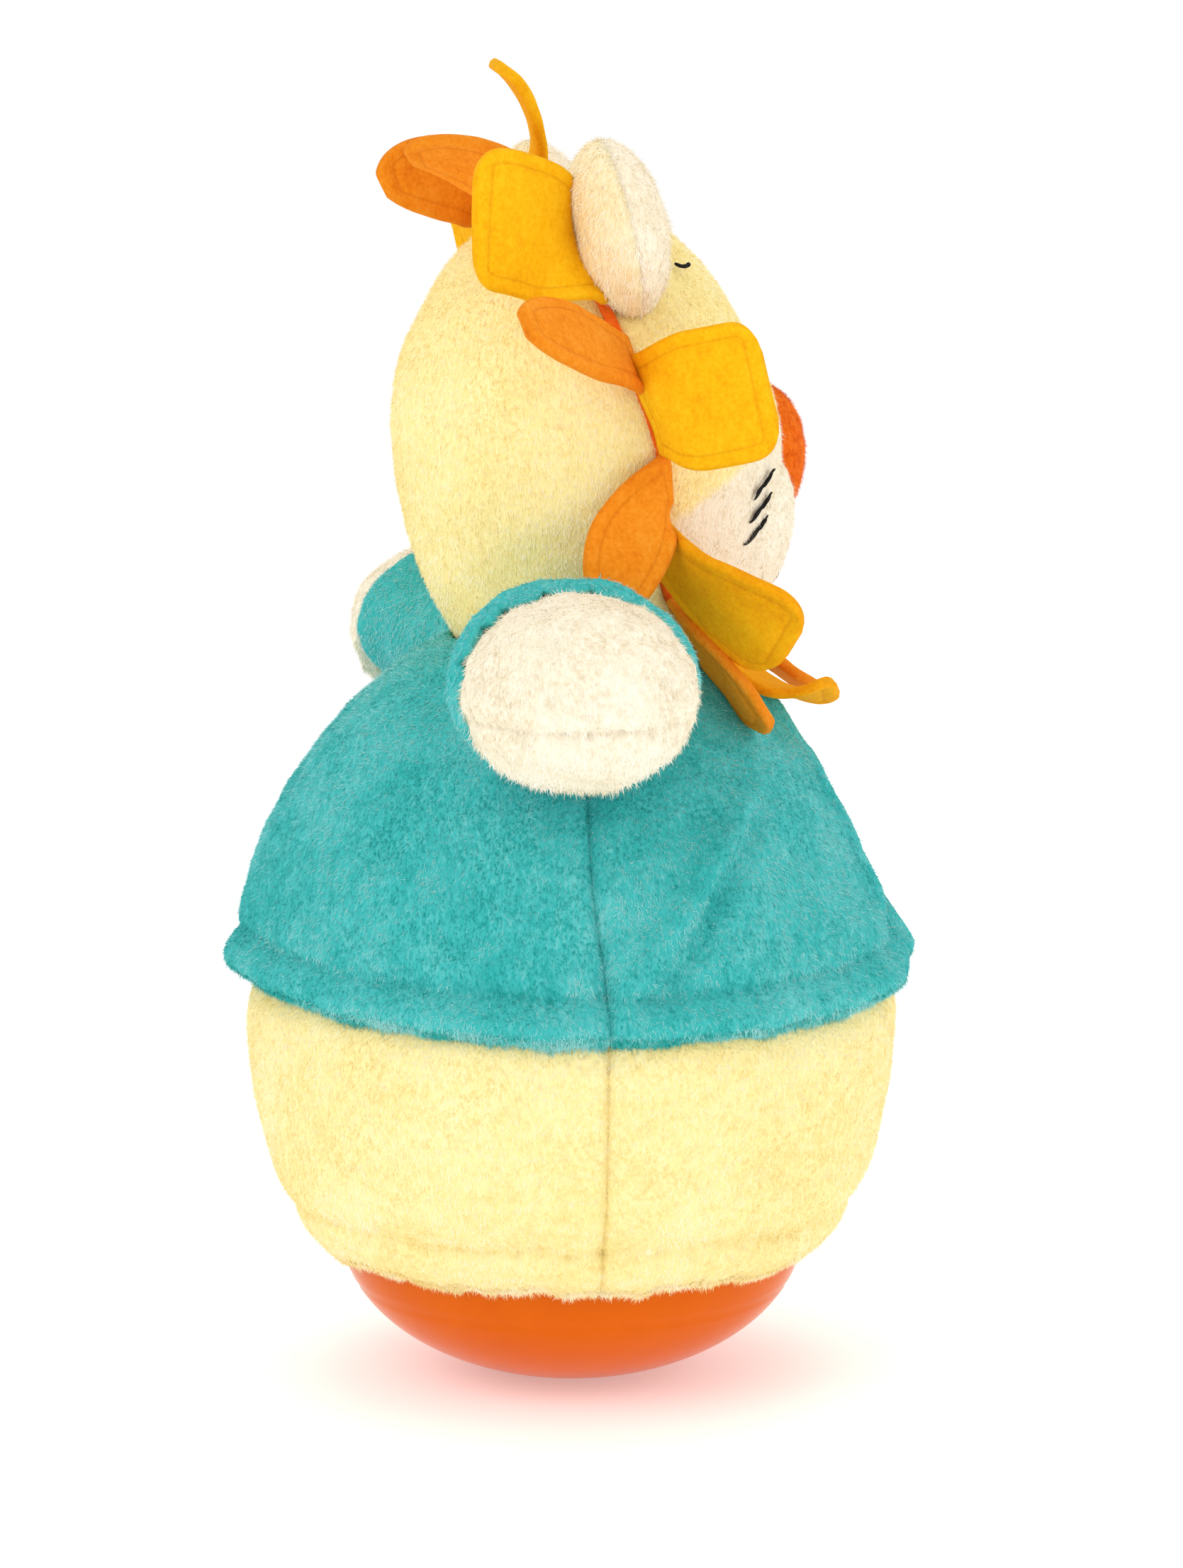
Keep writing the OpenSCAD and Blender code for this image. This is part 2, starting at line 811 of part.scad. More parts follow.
// The waistcoat from one angle to another
module vest(from, to) {
    difference() {
        sector(from, to)
            polygon(concat(vest_side(vest_out), reversed(vest_side(vest_in))));
        hem_cut();
        neck_room();
        arm_room();
    }
}

// What is cut off a front's lower corner: side is 1 where the front lies past its edge, by angle
module corner_cut(angle, side) {
    corner_z = waist_z + hem_rise - hem_dip * sin(vest_open);
    rotate([0, 0, angle])
        translate([0, 0, corner_z])
            rotate([90, 0, 90])
                linear_extrude(beyond)
                    difference() {
                        translate([side > 0 ? -overrun : -vest_corner, -vest_corner])
                            square([vest_corner + overrun, 2 * vest_corner]);
                        translate([side * vest_corner, vest_corner])
                            circle(vest_corner * corner_share);
                    }
}

module vest_back() {
    color("lightseagreen")
        vest(seam_turn, 180 - seam_turn);
}

module vest_front_right() {
    color("lightseagreen")
        difference() {
            vest(180 - seam_turn, chest - vest_open);
            corner_cut(chest - vest_open, -1);
        }
}

module vest_front_left() {
    color("lightseagreen")
        difference() {
            vest(chest + vest_open, 360 + seam_turn);
            corner_cut(chest + vest_open, 1);
        }
}

module sleeve(side) {
    color("lightseagreen")
        at_shoulder(side, 0)
            rotate_extrude()
                polygon(concat(sleeve_points(0), reversed(sleeve_points(arm_t))));
}

module paw(side) {
    color("cornsilk")
        at_shoulder(side, 0)
            rotate_extrude()
                polygon(concat(paw_points(0), reversed(paw_points(arm_t))));
}

module arm_stuffing(side) {
    depth = arm_t + layer_gap;
    color("white")
        at_shoulder(side, 0)
            rotate_extrude()
                polygon(concat(sleeve_points(depth), paw_points(depth)));
}

module head_plush() {
    difference() {
        head_egg(0);
        head_egg(-head_t);
    }
}

module head_back() {
    color("khaki")
        difference() {
            head_plush();
            face_side(0);
        }
}

module head_face() {
    color("khaki")
        intersection() {
            head_plush();
            face_side(0);
        }
}

module head_stuffing() {
    outer = head_t + layer_gap;
    color("white")
        difference() {
            head_egg(-outer);
            head_egg(-outer - head_stuffing_t);
            translate([0, head_y, head_z - head_low])
                cylinder(r = neck_hole_r, h = head_low);
        }
}

module muzzle_ball(grow) {
    translate([0, muzzle_y, muzzle_z])
        sphere(muzzle_r + grow);
}

module muzzle() {
    color("cornsilk")
        difference() {
            muzzle_ball(0);
            head_egg(layer_gap);
        }
}

module nose() {
    color("darkorange")
        difference() {
            translate([0, nose_y, nose_z])
                sphere(nose_r);
            head_egg(layer_gap);
            muzzle_ball(layer_gap);
        }
}

// A band along the mane's seam, wider and thicker by a gap
module mane_band(gap) {
    half_w = tape_w / 2 + gap;
    back_edge = seam_line(half_w);
    fore_edge = seam_line(-half_w);
    last = len(fore_edge) - 1;
    intersection() {
        head_egg(layer_gap + tape_t + gap);
        translate([-beyond / 2, head_y, head_z])
            rotate([90, 0, 90])
                linear_extrude(beyond)
                    polygon(concat(back_edge, [for (i = [last:-1:0]) fore_edge[i]]));
    }
}

module mane_tape() {
    color("orangered")
        difference() {
            mane_band(0);
            head_egg(layer_gap);
            muzzle_ball(layer_gap);
        }
}

// An ear's own frame: its middle is the origin, its front faces -Y and it stands along +Z
module at_ear(side) {
    translate([side * ear_x, ear_y, ear_z])
        rotate([-ear_back_lean, side * ear_lean, 0])
            children();
}

// Half of a puffed ear, a cap of a ball: face is -1 in front and 1 behind
module ear_panel(side, face, bulge) {
    cap_r = (ear_r * ear_r + bulge * bulge) / (2 * bulge);
    difference() {
        at_ear(side)
            intersection() {
                translate([0, face * (bulge - cap_r), 0])
                    sphere(cap_r, $fn = 160);
                translate([-beyond / 2, face > 0 ? 0 : -beyond, -beyond / 2])
                    cube(beyond);
            }
        head_egg(ear_gap);
        mane_band(ear_gap);
    }
}

module ear_back(side) {
    color("khaki")
        ear_panel(side, 1, ear_back_h);
}

module ear_front(side) {
    color("cornsilk")
        ear_panel(side, -1, ear_front_h);
}

// Puts something on the head's surface, facing out: turn from the chest's side, rise from its widest level
module on_head(side, turn, rise) {
    out = head_r * cos(rise);
    high = rise < 0 ? head_low : head_top;
    translate([side * out * sin(turn), head_y - out * cos(turn), head_z + high * sin(rise)])
        rotate([90 - rise, 0, side * turn])
            children();
}

// A closed eye: a thread arc laid on the head, open end up
module eye_stitches() {
    eye_turn = 64;
    eye_rise = 47;
    lid_r = 2;
    lid_span = 100;
    color("black")
        for (side = [-1, 1]) {
            on_head(side, eye_turn, eye_rise)
                rotate([0, 0, 270 - lid_span / 2])
                    rotate_extrude(angle = lid_span)
                        translate([lid_r, 0])
                            circle(thread_r);
        }
}

module whisker_stitches() {
    whisker_len = 7;
    whisker_turn = 42;
    whisker_rise = -15;
    whisker_fan = 5;
    whisker_tilt = 35;
    color("black")
        for (side = [-1, 1]) {
            for (row = [-1:1]) {
                on_head(side, whisker_turn, whisker_rise + row * whisker_fan)
                    rotate([0, 0, -side * whisker_tilt])
                        cross_pin(thread_r, whisker_len / 2);
            }
        }
}

module mouth_stitches() {
    mouth_drop = 20;
    smile_r = 5;
    smile_span = 100;
    color("black")
        translate([0, muzzle_y, muzzle_z])
            rotate([mouth_drop, 0, 0])
                translate([0, -sqrt(pow(muzzle_r, 2) - pow(smile_r, 2)), 0])
                    rotate([90, 0, 0])
                        rotate([0, 0, 270 - smile_span / 2])
                            rotate_extrude(angle = smile_span)
                                translate([smile_r, 0])
                                    circle(thread_r);
}

// A felt petal: two faces of points joined along the rim
module petal(i) {
    wide = petal_cols + 1;
    total = (petal_rows + 1) * wide;
    points = [
        for (side = [-1, 1])
            for (r = [0:petal_rows])
                for (c = [0:petal_cols])
                    petal_point(i, 2 * c / petal_cols - 1, r / petal_rows, side)
    ];
    cells = [for (r = [0:petal_rows - 1]) for (c = [0:petal_cols - 1]) r * wide + c];
    rim = concat(
        [for (c = [0:petal_cols]) c],
        [for (r = [1:petal_rows]) r * wide + petal_cols],
        [for (c = [petal_cols - 1:-1:0]) petal_rows * wide + c],
        [for (r = [petal_rows - 1:-1:1]) r * wide]
    );
    faces = concat(
        [for (k = cells) [k, k + wide, k + 1]],
        [for (k = cells) [k + 1, k + wide, k + wide + 1]],
        [for (k = cells) [total + k, total + k + 1, total + k + wide]],
        [for (k = cells) [total + k + 1, total + k + wide + 1, total + k + wide]],
        [for (k = [0:len(rim) - 1]) [rim[k], rim[(k + 1) % len(rim)], total + rim[(k + 1) % len(rim)]]],
        [for (k = [0:len(rim) - 1]) [rim[k], total + rim[(k + 1) % len(rim)], total + rim[k]]]
    );
    color(i % 2 == 0 ? "gold" : "orange")
        translate([0, head_y, head_z])
            polyhedron(points, faces);
}

base_bowl();
capsule_dome();
dome_screws();
counterweight();
weight_screw();
chime_plate();
chime_rods();
chime_hanger();
hanger_nut();
hanger_pin();
clapper_link();
clapper_pin();
clapper_stem();
clapper_ball();
hem_elastic();
cover_front();
cover_back();
body_stuffing();
vest_back();
vest_front_right();
vest_front_left();
sleeve(-1);  // sleeve_right
paw(-1);  // paw_right
arm_stuffing(-1);  // arm_stuffing_right
sleeve(1);  // sleeve_left
paw(1);  // paw_left
arm_stuffing(1);  // arm_stuffing_left
head_back();
head_face();
head_stuffing();
muzzle();
nose();
mane_tape();
ear_back(-1);  // ear_back_right
ear_front(-1);  // ear_front_right
ear_back(1);  // ear_back_left
ear_front(1);  // ear_front_left
eye_stitches();
whisker_stitches();
mouth_stitches();
for (i = [0:petals_n - 1]) {
    petal(i);
}
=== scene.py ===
import math
import bpy
import numpy as np
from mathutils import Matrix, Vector


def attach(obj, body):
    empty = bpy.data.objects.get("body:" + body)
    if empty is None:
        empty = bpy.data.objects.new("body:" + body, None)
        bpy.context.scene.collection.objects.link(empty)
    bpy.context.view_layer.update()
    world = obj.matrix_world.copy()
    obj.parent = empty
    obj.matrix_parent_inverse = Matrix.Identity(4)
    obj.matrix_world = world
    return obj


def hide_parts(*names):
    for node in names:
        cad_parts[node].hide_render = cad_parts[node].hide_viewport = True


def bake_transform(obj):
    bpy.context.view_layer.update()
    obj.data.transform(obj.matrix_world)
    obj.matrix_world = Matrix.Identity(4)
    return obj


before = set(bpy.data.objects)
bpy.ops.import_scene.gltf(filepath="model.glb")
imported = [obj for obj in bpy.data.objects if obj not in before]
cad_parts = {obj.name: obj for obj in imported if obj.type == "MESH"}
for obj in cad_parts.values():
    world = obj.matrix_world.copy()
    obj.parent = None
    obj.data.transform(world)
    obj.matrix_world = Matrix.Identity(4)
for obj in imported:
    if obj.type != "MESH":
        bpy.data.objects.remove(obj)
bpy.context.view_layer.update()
print("stage: frame loaded,", len(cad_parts), "nodes")

# shapes are worked out in mm, and meshes hold metres
mm = 0.001
perMetre = 1000.0
fullTurn = 2 * np.pi
white = (1, 1, 1, 1)

# sizes shared by several pieces, in mm and degrees
toy = dict(bowlR=38.0, bowlDepth=24.0, footR=5.0, rimZ=23.79,
           bodyR=52.5, bodyLow=56.0, waistZ=57.29, bodyRise=68.0, neck=(0.0, -3.0, 136.0),
           head=(0.0, -3.0, 154.5), headR=31.5, headTop=37.5, headLow=45.0, seamTurn=7.0)
neckAt = np.array(toy["neck"])
headAt = np.array(toy["head"])
sideSeams = (toy["seamTurn"], 180 - toy["seamTurn"])


def smooth(t):  # 0 to 1 with level ends: 3 t^2 - 2 t^3
    t = np.clip(t, 0, 1)
    return t * t * (3 - 2 * t)


def unit(v):  # a vector over its own length
    return v / np.maximum(np.linalg.norm(v, axis=-1, keepdims=True), 1e-9)


def hump(x, middle, width):  # a bell: exp of minus the squared distance in widths
    return np.exp(-((x - middle) / width) ** 2)


def ridged(r, x, ridges):  # r with a bell added for each height, place and width
    for high, at, wide in ridges:
        r = r + high * hump(x, at, wide)
    return r


def ripples(turn, waves, total=0):  # sine waves summed: height, number in a turn and start of each
    for high, count, start in waves:
        total = total + high * np.sin(turn * count + start)
    return total


def puckered(x, count, stray, strayCount):  # a sine whose spacing strays by a slower sine
    return np.sin(x * count + stray * np.sin(x * strayCount))


def lumps(points, size, seed, waves=10):  # a sum of sine waves in seeded directions, of about unit height
    draw = np.random.default_rng(seed)
    total = np.zeros(points.shape[:-1])
    for k in range(waves):
        way = unit(draw.normal(size=3)) * fullTurn / (size * draw.uniform(0.7, 1.5))
        total += np.sin(points @ way + draw.uniform(0, fullTurn))
    return total / math.sqrt(waves)


def puffs(points, seed, sizes):  # lumps of several sizes summed: size and height of each, in mm
    return sum(lumps(points, size, seed + k) * high for k, (size, high) in enumerate(sizes))


def ringOf(count):  # even angles once round
    return np.linspace(0, fullTurn, count, endpoint=False)


def turnX(angle):  # matrix of a turn about the X axis
    c, s = math.cos(angle), math.sin(angle)
    return np.array([[1, 0, 0], [0, c, -s], [0, s, c]])


def turnY(angle):  # matrix of a turn about the Y axis
    c, s = math.cos(angle), math.sin(angle)
    return np.array([[c, 0, s], [0, 1, 0], [-s, 0, c]])


def normalsOf(points):  # cross product of the grid's two slopes
    return unit(np.cross(np.gradient(points, axis=1), np.gradient(points, axis=0)))


def cells(rows, cols, wrap, first=0):  # four corners of each cell of a grid
    r, c = np.meshgrid(np.arange(rows - 1), np.arange(cols if wrap else cols - 1), indexing="ij")
    n = (c + 1) % cols
    corners = [r * cols + c, r * cols + n, (r + 1) * cols + n, (r + 1) * cols + c]
    return first + np.stack(corners, -1).reshape(-1, 4)


def strip(a, b, wrap):  # faces between two rows of point numbers
    if wrap:
        return np.stack([a, np.roll(a, -1), np.roll(b, -1), b], -1)
    return np.stack([a[:-1], a[1:], b[1:], b[:-1]], -1)


def slab(outer, inner, wrap):  # two grids of the same size joined along their rims
    rows, cols = outer.shape[:2]
    n = rows * cols
    number = np.arange(n).reshape(rows, cols)
    faces = [cells(rows, cols, wrap), cells(rows, cols, wrap, n)[:, ::-1]]
    faces.append(strip(number[0] + n, number[0], wrap))
    faces.append(strip(number[-1], number[-1] + n, wrap))
    if not wrap:
        faces.append(strip(number[:, 0], number[:, 0] + n, False))
        faces.append(strip(number[:, -1] + n, number[:, -1], False))
    points = np.concatenate([outer.reshape(-1, 3), inner.reshape(-1, 3)])
    return points, np.concatenate(faces).tolist()


def ball(points):  # a grid closed round, its first and last rows drawn to one point each
    rows, cols = points.shape[:2]
    inside = points[1:-1].reshape(-1, 3)
    poles = np.stack([points[0].mean(0), points[-1].mean(0)])
    n = len(inside)
    ring = np.arange(cols)
    faces = cells(rows - 2, cols, True).tolist()
    faces += np.stack([np.full(cols, n), np.roll(ring, -1), ring], -1).tolist()
    top = ring + (rows - 3) * cols
    faces += np.stack([np.full(cols, n + 1), top, np.roll(top, -1)], -1).tolist()
    return np.concatenate([inside, poles]), faces


def joined(shapes):  # several shapes in one list of points and faces
    points, faces, first = [], [], 0
    for p, f in shapes:
        points.append(p)
        faces += [[first + i for i in face] for face in f]
        first += len(p)
    return np.concatenate(points), faces


def signedVolume(points, faces):  # sum of the wedges from the origin to each triangle: a . (b x c) / 6
    tri = np.array([f[:3] for f in faces] + [[f[0], f[2], f[3]] for f in faces if len(f) == 4])
    a, b, c = points[tri[:, 0]], points[tri[:, 1]], points[tri[:, 2]]
    return float((a * np.cross(b, c)).sum() / 6)


def placed(name, data):  # an object at the origin, in the scene
    made = bpy.data.objects.new(name, data)
    bpy.context.scene.collection.objects.link(made)
    return made


def marked(made, body, stands=()):  # the body it rides on and the nodes it stands for
    if body:
        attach(made, body)
    if stands:
        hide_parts(*stands)
    return made


def piece(name, shape, finish, body=None, stands=(), turned=True):
    points, faces = shape
    if turned and signedVolume(points, faces) < 0:  # a closed shape that is inside out is turned
        faces = [f[::-1] for f in faces]
    mesh = bpy.data.meshes.new(name)
    mesh.from_pydata((points * mm).tolist(), [], faces)
    mesh.polygons.foreach_set("use_smooth", np.ones(len(mesh.polygons), bool))
    mesh.materials.append(finish)
    return marked(placed(name, mesh), body, stands)


# camera: mm from the toy's axis and the floor, degrees, lens and sensor in mm, clipping in m
shot = dict(azimuth=256.5, distance=720.0, height=198.0, across=3.2, pitch=8.0, lens=102.9, sensor=36.0,
            near=0.05, far=20.0)
upward = Vector((0, 0, 1))


def aimed(thing, way):  # turned so that its lens or its light points along way
    thing.rotation_mode = "QUATERNION"
    thing.rotation_quaternion = way.to_track_quat("-Z", "Y")


def setCamera():
    a, e = math.radians(shot["azimuth"]), math.radians(shot["pitch"])
    back = Vector((math.sin(a), -math.cos(a), 0))
    right = upward.cross(back)
    data = bpy.data.cameras.new("shotCamera")
    data.lens, data.sensor_width = shot["lens"], shot["sensor"]
    data.clip_start, data.clip_end = shot["near"], shot["far"]
    camera = placed("shotCamera", data)
    at = back * shot["distance"] + right * shot["across"] + upward * shot["height"]
    camera.location = at * mm
    aimed(camera, -back * math.cos(e) - upward * math.sin(e))
    bpy.context.scene.camera = camera
    return back, right


# lamps: m towards the camera, to its right and up, then power in W and size in m
lamps = dict(keyLamp=(0.9, -0.75, 0.95, 5.4, 0.9), fillLamp=(0.5, 1.1, 0.45, 3.2, 1.0),
             topLamp=(-0.35, 0.0, 1.5, 3.6, 1.2))
studio = dict(aimZ=0.11, world=0.76, backdrop=1.0, floorHalf=9000.0, floorTone=0.95, floorRough=0.8,
              floorGlow=0.3)


def setLamps(back, right):
    for name, (near, across, high, power, size) in lamps.items():
        data = bpy.data.lights.new(name, "AREA")
        data.energy, data.size = power, size
        lamp = placed(name, data)
        at = back * near + right * across + upward * high
        lamp.location = at
        aimed(lamp, upward * studio["aimZ"] - at)


def setWorld():  # one white sky for the light, and one for what the lens sees past the floor
    world = bpy.context.scene.world or bpy.data.worlds.new("studio")
    bpy.context.scene.world = world
    world.use_nodes = True
    nodes, links = world.node_tree.nodes, world.node_tree.links
    sky = nodes["Background"]
    dial(sky, {"Color": white, "Strength": studio["world"]})
    shown = nodes.new("ShaderNodeBackground")
    dial(shown, {"Color": white, "Strength": studio["backdrop"]})
    path = nodes.new("ShaderNodeLightPath")
    either = nodes.new("ShaderNodeMixShader")
    links.new(path.outputs["Is Camera Ray"], either.inputs["Fac"])
    links.new(sky.outputs["Background"], either.inputs[1])
    links.new(shown.outputs["Background"], either.inputs[2])
    links.new(either.outputs["Shader"], nodes["World Output"].inputs["Surface"])
    bpy.context.scene.view_settings.view_transform = "Standard"


def setFloor():
    half = studio["floorHalf"]
    flat = np.array([[-half, -half, 0], [half, -half, 0], [half, half, 0], [-half, half, 0]])
    paint = plainFinish("paleFloor", (studio["floorTone"],) * 3, studio["floorRough"])
    glow = {"Emission Color": white, "Emission Strength": studio["floorGlow"]}
    dial(paint.node_tree.nodes["Principled BSDF"], glow)
    piece("paleFloor", (flat, [[0, 1, 2, 3]]), paint, turned=False)


# finishes
def newFinish(name):
    made = bpy.data.materials.new(name)
    made.use_nodes = True
    nodes = made.node_tree.nodes
    return made, nodes, made.node_tree.links, nodes["Principled BSDF"]


def dial(node, values):  # sets a node's inputs by name
    for name, value in values.items():
        node.inputs[name].default_value = value


def lin(r, g, b):  # screen colour of 0 to 255 to linear light
    c = np.array([r, g, b]) / 255.0
    c = np.where(c <= 0.04045, c / 12.92, ((c + 0.055) / 1.055) ** 2.4)
    return (float(c[0]), float(c[1]), float(c[2]), 1.0)


def plainFinish(name, colour, rough):
    made, nodes, links, shader = newFinish(name)
    dial(shader, {"Base Color": (*colour, 1), "Roughness": rough})
    return made


def noiseAt(nodes, links, size, detail, stretch=(1, 1, 1)):  # noise on object coordinates, of size mm
    where = nodes.new("ShaderNodeTexCoord")
    fit = nodes.new("ShaderNodeMapping")
    dial(fit, {"Scale": stretch})
    noise = nodes.new("ShaderNodeTexNoise")
    dial(noise, {"Scale": perMetre / size, "Detail": detail, "Roughness": 0.6})
    links.new(where.outputs["Object"], fit.inputs["Vector"])
    links.new(fit.outputs["Vector"], noise.inputs["Vector"])
    return noise.outputs["Fac"]


def ramp(nodes, links, value, stops):  # colours by the value's height
    made = nodes.new("ShaderNodeValToRGB")
    made.color_ramp.elements[0].position, made.color_ramp.elements[0].color = stops[0]
    made.color_ramp.elements[1].position, made.color_ramp.elements[1].color = stops[-1]
    for at, colour in stops[1:-1]:
        made.color_ramp.elements.new(at).color = colour
    links.new(value, made.inputs["Fac"])
    return made.outputs["Color"]


def summed(nodes, links, a, b, share):  # a plus share times b
    made = nodes.new("ShaderNodeMath")
    made.operation = "MULTIPLY_ADD"
    made.inputs[1].default_value = share
    links.new(b, made.inputs[0])
    links.new(a, made.inputs[2])
    return made.outputs[0]


def spread(nodes, links, value, low, high):  # the stretch from low to high drawn out to 0 to 1
    made = nodes.new("ShaderNodeMapRange")
    dial(made, {"From Min": low, "From Max": high})
    links.new(value, made.inputs["Value"])
    return made.outputs["Result"]


def bumped(nodes, links, shader, height, depth, strength):  # relief of depth mm
    made = nodes.new("ShaderNodeBump")
    dial(made, {"Strength": strength, "Distance": depth * mm})
    links.new(height, made.inputs["Height"])
    links.new(made.outputs["Normal"], shader.inputs["Normal"])


plush = dict(fine=0.55, tuftTimes=4.5, patch=17, nap=(1, 1, 0.35), tuftShare=0.5, patchShare=0.6, low=0.55,
             high=1.55, stops=(0.05, 0.5, 0.95), reliefShare=1.2, deep=0.6, strength=0.6)


def plushFinish(name, dark, middle, light, sheen=0.15):
    # short pile: fine streaks along the nap, soft patches where the pile lies another way
    made, nodes, links, shader = newFinish(name)
    fine = noiseAt(nodes, links, plush["fine"], 3, plush["nap"])
    tuft = noiseAt(nodes, links, plush["fine"] * plush["tuftTimes"], 3, plush["nap"])
    patch = noiseAt(nodes, links, plush["patch"], 2)
    tone = summed(nodes, links, fine, tuft, plush["tuftShare"])
    tone = summed(nodes, links, tone, patch, plush["patchShare"])
    tone = spread(nodes, links, tone, plush["low"], plush["high"])
    stops = list(zip(plush["stops"], (lin(*dark), lin(*middle), lin(*light))))
    links.new(ramp(nodes, links, tone, stops), shader.inputs["Base Color"])
    dial(shader, {"Roughness": 0.95, "Specular IOR Level": 0.12, "Sheen Weight": sheen,
                  "Sheen Roughness": 0.45, "Sheen Tint": lin(*light)})
    relief = summed(nodes, links, fine, tuft, plush["reliefShare"])
    bumped(nodes, links, shader, relief, plush["deep"], plush["strength"])
    return made


# the stitched line's stops are places in from the rim, in cm: a darker cut edge, then painted shade along the
# stitch groove
felt = dict(grain=0.7, hairs=1.6, crossing=(1, 1, 0.6), patch=9, hairShare=0.7, patchShare=0.6, low=0.6,
            high=1.7, stops=(0.1, 0.5, 0.9), reliefShare=0.8, deep=0.35, strength=0.6,
            line=[(0.0, (0.9, 0.86, 0.8, 1)), (0.07, white), (0.2, white), (0.235, (0.87, 0.8, 0.7, 1)),
                  (0.27, white)])


def feltFinish(name, dark, middle, light, stitched=False):
    # pressed fibres: even grain with short crossing hairs, and a darker line where the edge is stitched,
    # painted shade of the stitch groove
    made, nodes, links, shader = newFinish(name)
    grain = noiseAt(nodes, links, felt["grain"], 5)
    hairs = noiseAt(nodes, links, felt["hairs"], 6, felt["crossing"])
    patch = noiseAt(nodes, links, felt["patch"], 2)
    tone = summed(nodes, links, grain, hairs, felt["hairShare"])
    tone = summed(nodes, links, tone, patch, felt["patchShare"])
    tone = spread(nodes, links, tone, felt["low"], felt["high"])
    stops = list(zip(felt["stops"], (lin(*dark), lin(*middle), lin(*light))))
    colour = ramp(nodes, links, tone, stops)
    # painted shade along the stitch groove, and a darker cut edge, multiplied into the felt's colour
    if stitched:
        rim = nodes.new("ShaderNodeAttribute")
        rim.attribute_name = "rim"
        line = ramp(nodes, links, rim.outputs["Fac"], felt["line"])
        stitchShaded = nodes.new("ShaderNodeMix")
        stitchShaded.data_type, stitchShaded.blend_type = "RGBA", "MULTIPLY"
        stitchShaded.inputs["Factor"].default_value = 1.0
        links.new(colour, stitchShaded.inputs["A"])
        links.new(line, stitchShaded.inputs["B"])
        colour = stitchShaded.outputs["Result"]
    links.new(colour, shader.inputs["Base Color"])
    dial(shader, {"Roughness": 0.9, "Specular IOR Level": 0.15, "Sheen Weight": 0.25,
                  "Sheen Tint": lin(*light)})
    relief = summed(nodes, links, grain, hairs, felt["reliefShare"])
    bumped(nodes, links, shader, relief, felt["deep"], felt["strength"])
    return made


plastic = dict(flow=14.0, waves=6, deep=0.02, strength=0.4, stops=(0.3, 0.7))
metal = dict(along=(1, 1, 0.08), smooth=0.7, dull=1.4, deep=0.03, strength=0.4, stops=(0.3, 0.7))


def plasticFinish(name, colour, low, rough, gleam):  # moulded plastic: faint flow marks and waviness
    made, nodes, links, shader = newFinish(name)
    flow = noiseAt(nodes, links, plastic["flow"], 3)
    stops = list(zip(plastic["stops"], (lin(*low), lin(*colour))))
    links.new(ramp(nodes, links, flow, stops), shader.inputs["Base Color"])
    dial(shader, {"Roughness": rough, "Specular IOR Level": gleam})
    waves = noiseAt(nodes, links, plastic["waves"], 2)
    bumped(nodes, links, shader, waves, plastic["deep"], plastic["strength"])
    return made


def metalFinish(name, colour, low, rough, grain):  # worn metal: scratches along one way and dull spots
    made, nodes, links, shader = newFinish(name)
    scratch = noiseAt(nodes, links, grain, 4, metal["along"])
    stops = list(zip(metal["stops"], (lin(*low), lin(*colour))))
    links.new(ramp(nodes, links, scratch, stops), shader.inputs["Base Color"])
    dull = nodes.new("ShaderNodeMapRange")
    dial(dull, {"To Min": rough * metal["smooth"], "To Max": rough * metal["dull"]})
    links.new(scratch, dull.inputs["Value"])
    links.new(dull.outputs["Result"], shader.inputs["Roughness"])
    dial(shader, {"Metallic": 1.0})
    bumped(nodes, links, shader, scratch, metal["deep"], metal["strength"])
    return made


# tones from dark to light, then the sheen or whether the edge is stitched
headTones = ((243, 220, 138), (253, 235, 162), (255, 243, 190))
plushTones = dict(
    yellowPlush=((243, 220, 140), (253, 236, 166), (255, 244, 198)), headPlush=headTones,
    tealPlush=((24, 162, 156), (68, 185, 183), (128, 207, 204), 0.2),
    creamPlush=((240, 229, 202), (249, 240, 217), (254, 248, 234)),
    earBackPlush=((242, 220, 164), (251, 234, 190), (254, 244, 216)),
    earPlush=((236, 212, 184), (249, 236, 208), (255, 246, 228)),
    nosePlush=((205, 80, 10), (236, 109, 14), (246, 140, 50)))
feltTones = dict(
    yellowFelt=((230, 152, 0), (247, 180, 4), (253, 198, 30), True),
    # yellow felt in the warmer, deeper tone it shows in shade: painted shade, given to petals 6 and 8
    shadedYellowFelt=((226, 140, 0), (244, 166, 2), (250, 184, 20), True),
    orangeFelt=((220, 112, 10), (239, 140, 22), (247, 162, 52), True),
    tapeFelt=((206, 70, 8), (236, 96, 14), (246, 130, 40)),
    blackThread=((8, 8, 8), (26, 25, 24), (70, 68, 64)),
    hemElastic=((226, 224, 216), (240, 238, 232), (250, 249, 246)))
# tones light and dark, roughness and gleam
plasticTones = dict(
    bowlPlastic=((219, 99, 0), (213, 93, 0), 0.2, 0.1),
    innerPlastic=((236, 234, 226), (222, 219, 208), 0.42, 0.5))
# tones light and dark, roughness and size of the scratches in mm
metalTones = dict(
    screwSteel=((196, 197, 198), (150, 151, 153), 0.32, 1.2),
    castIron=((92, 92, 94), (52, 52, 55), 0.6, 3.0),
    rodMetal=((214, 215, 218), (176, 177, 181), 0.22, 0.9))
finish = {}
for make, tones in ((plushFinish, plushTones), (feltFinish, feltTones),
                    (plasticFinish, plasticTones), (metalFinish, metalTones)):
    finish.update({name: make(name, *look) for name, look in tones.items()})
print("stage: finishes made,", len(finish))
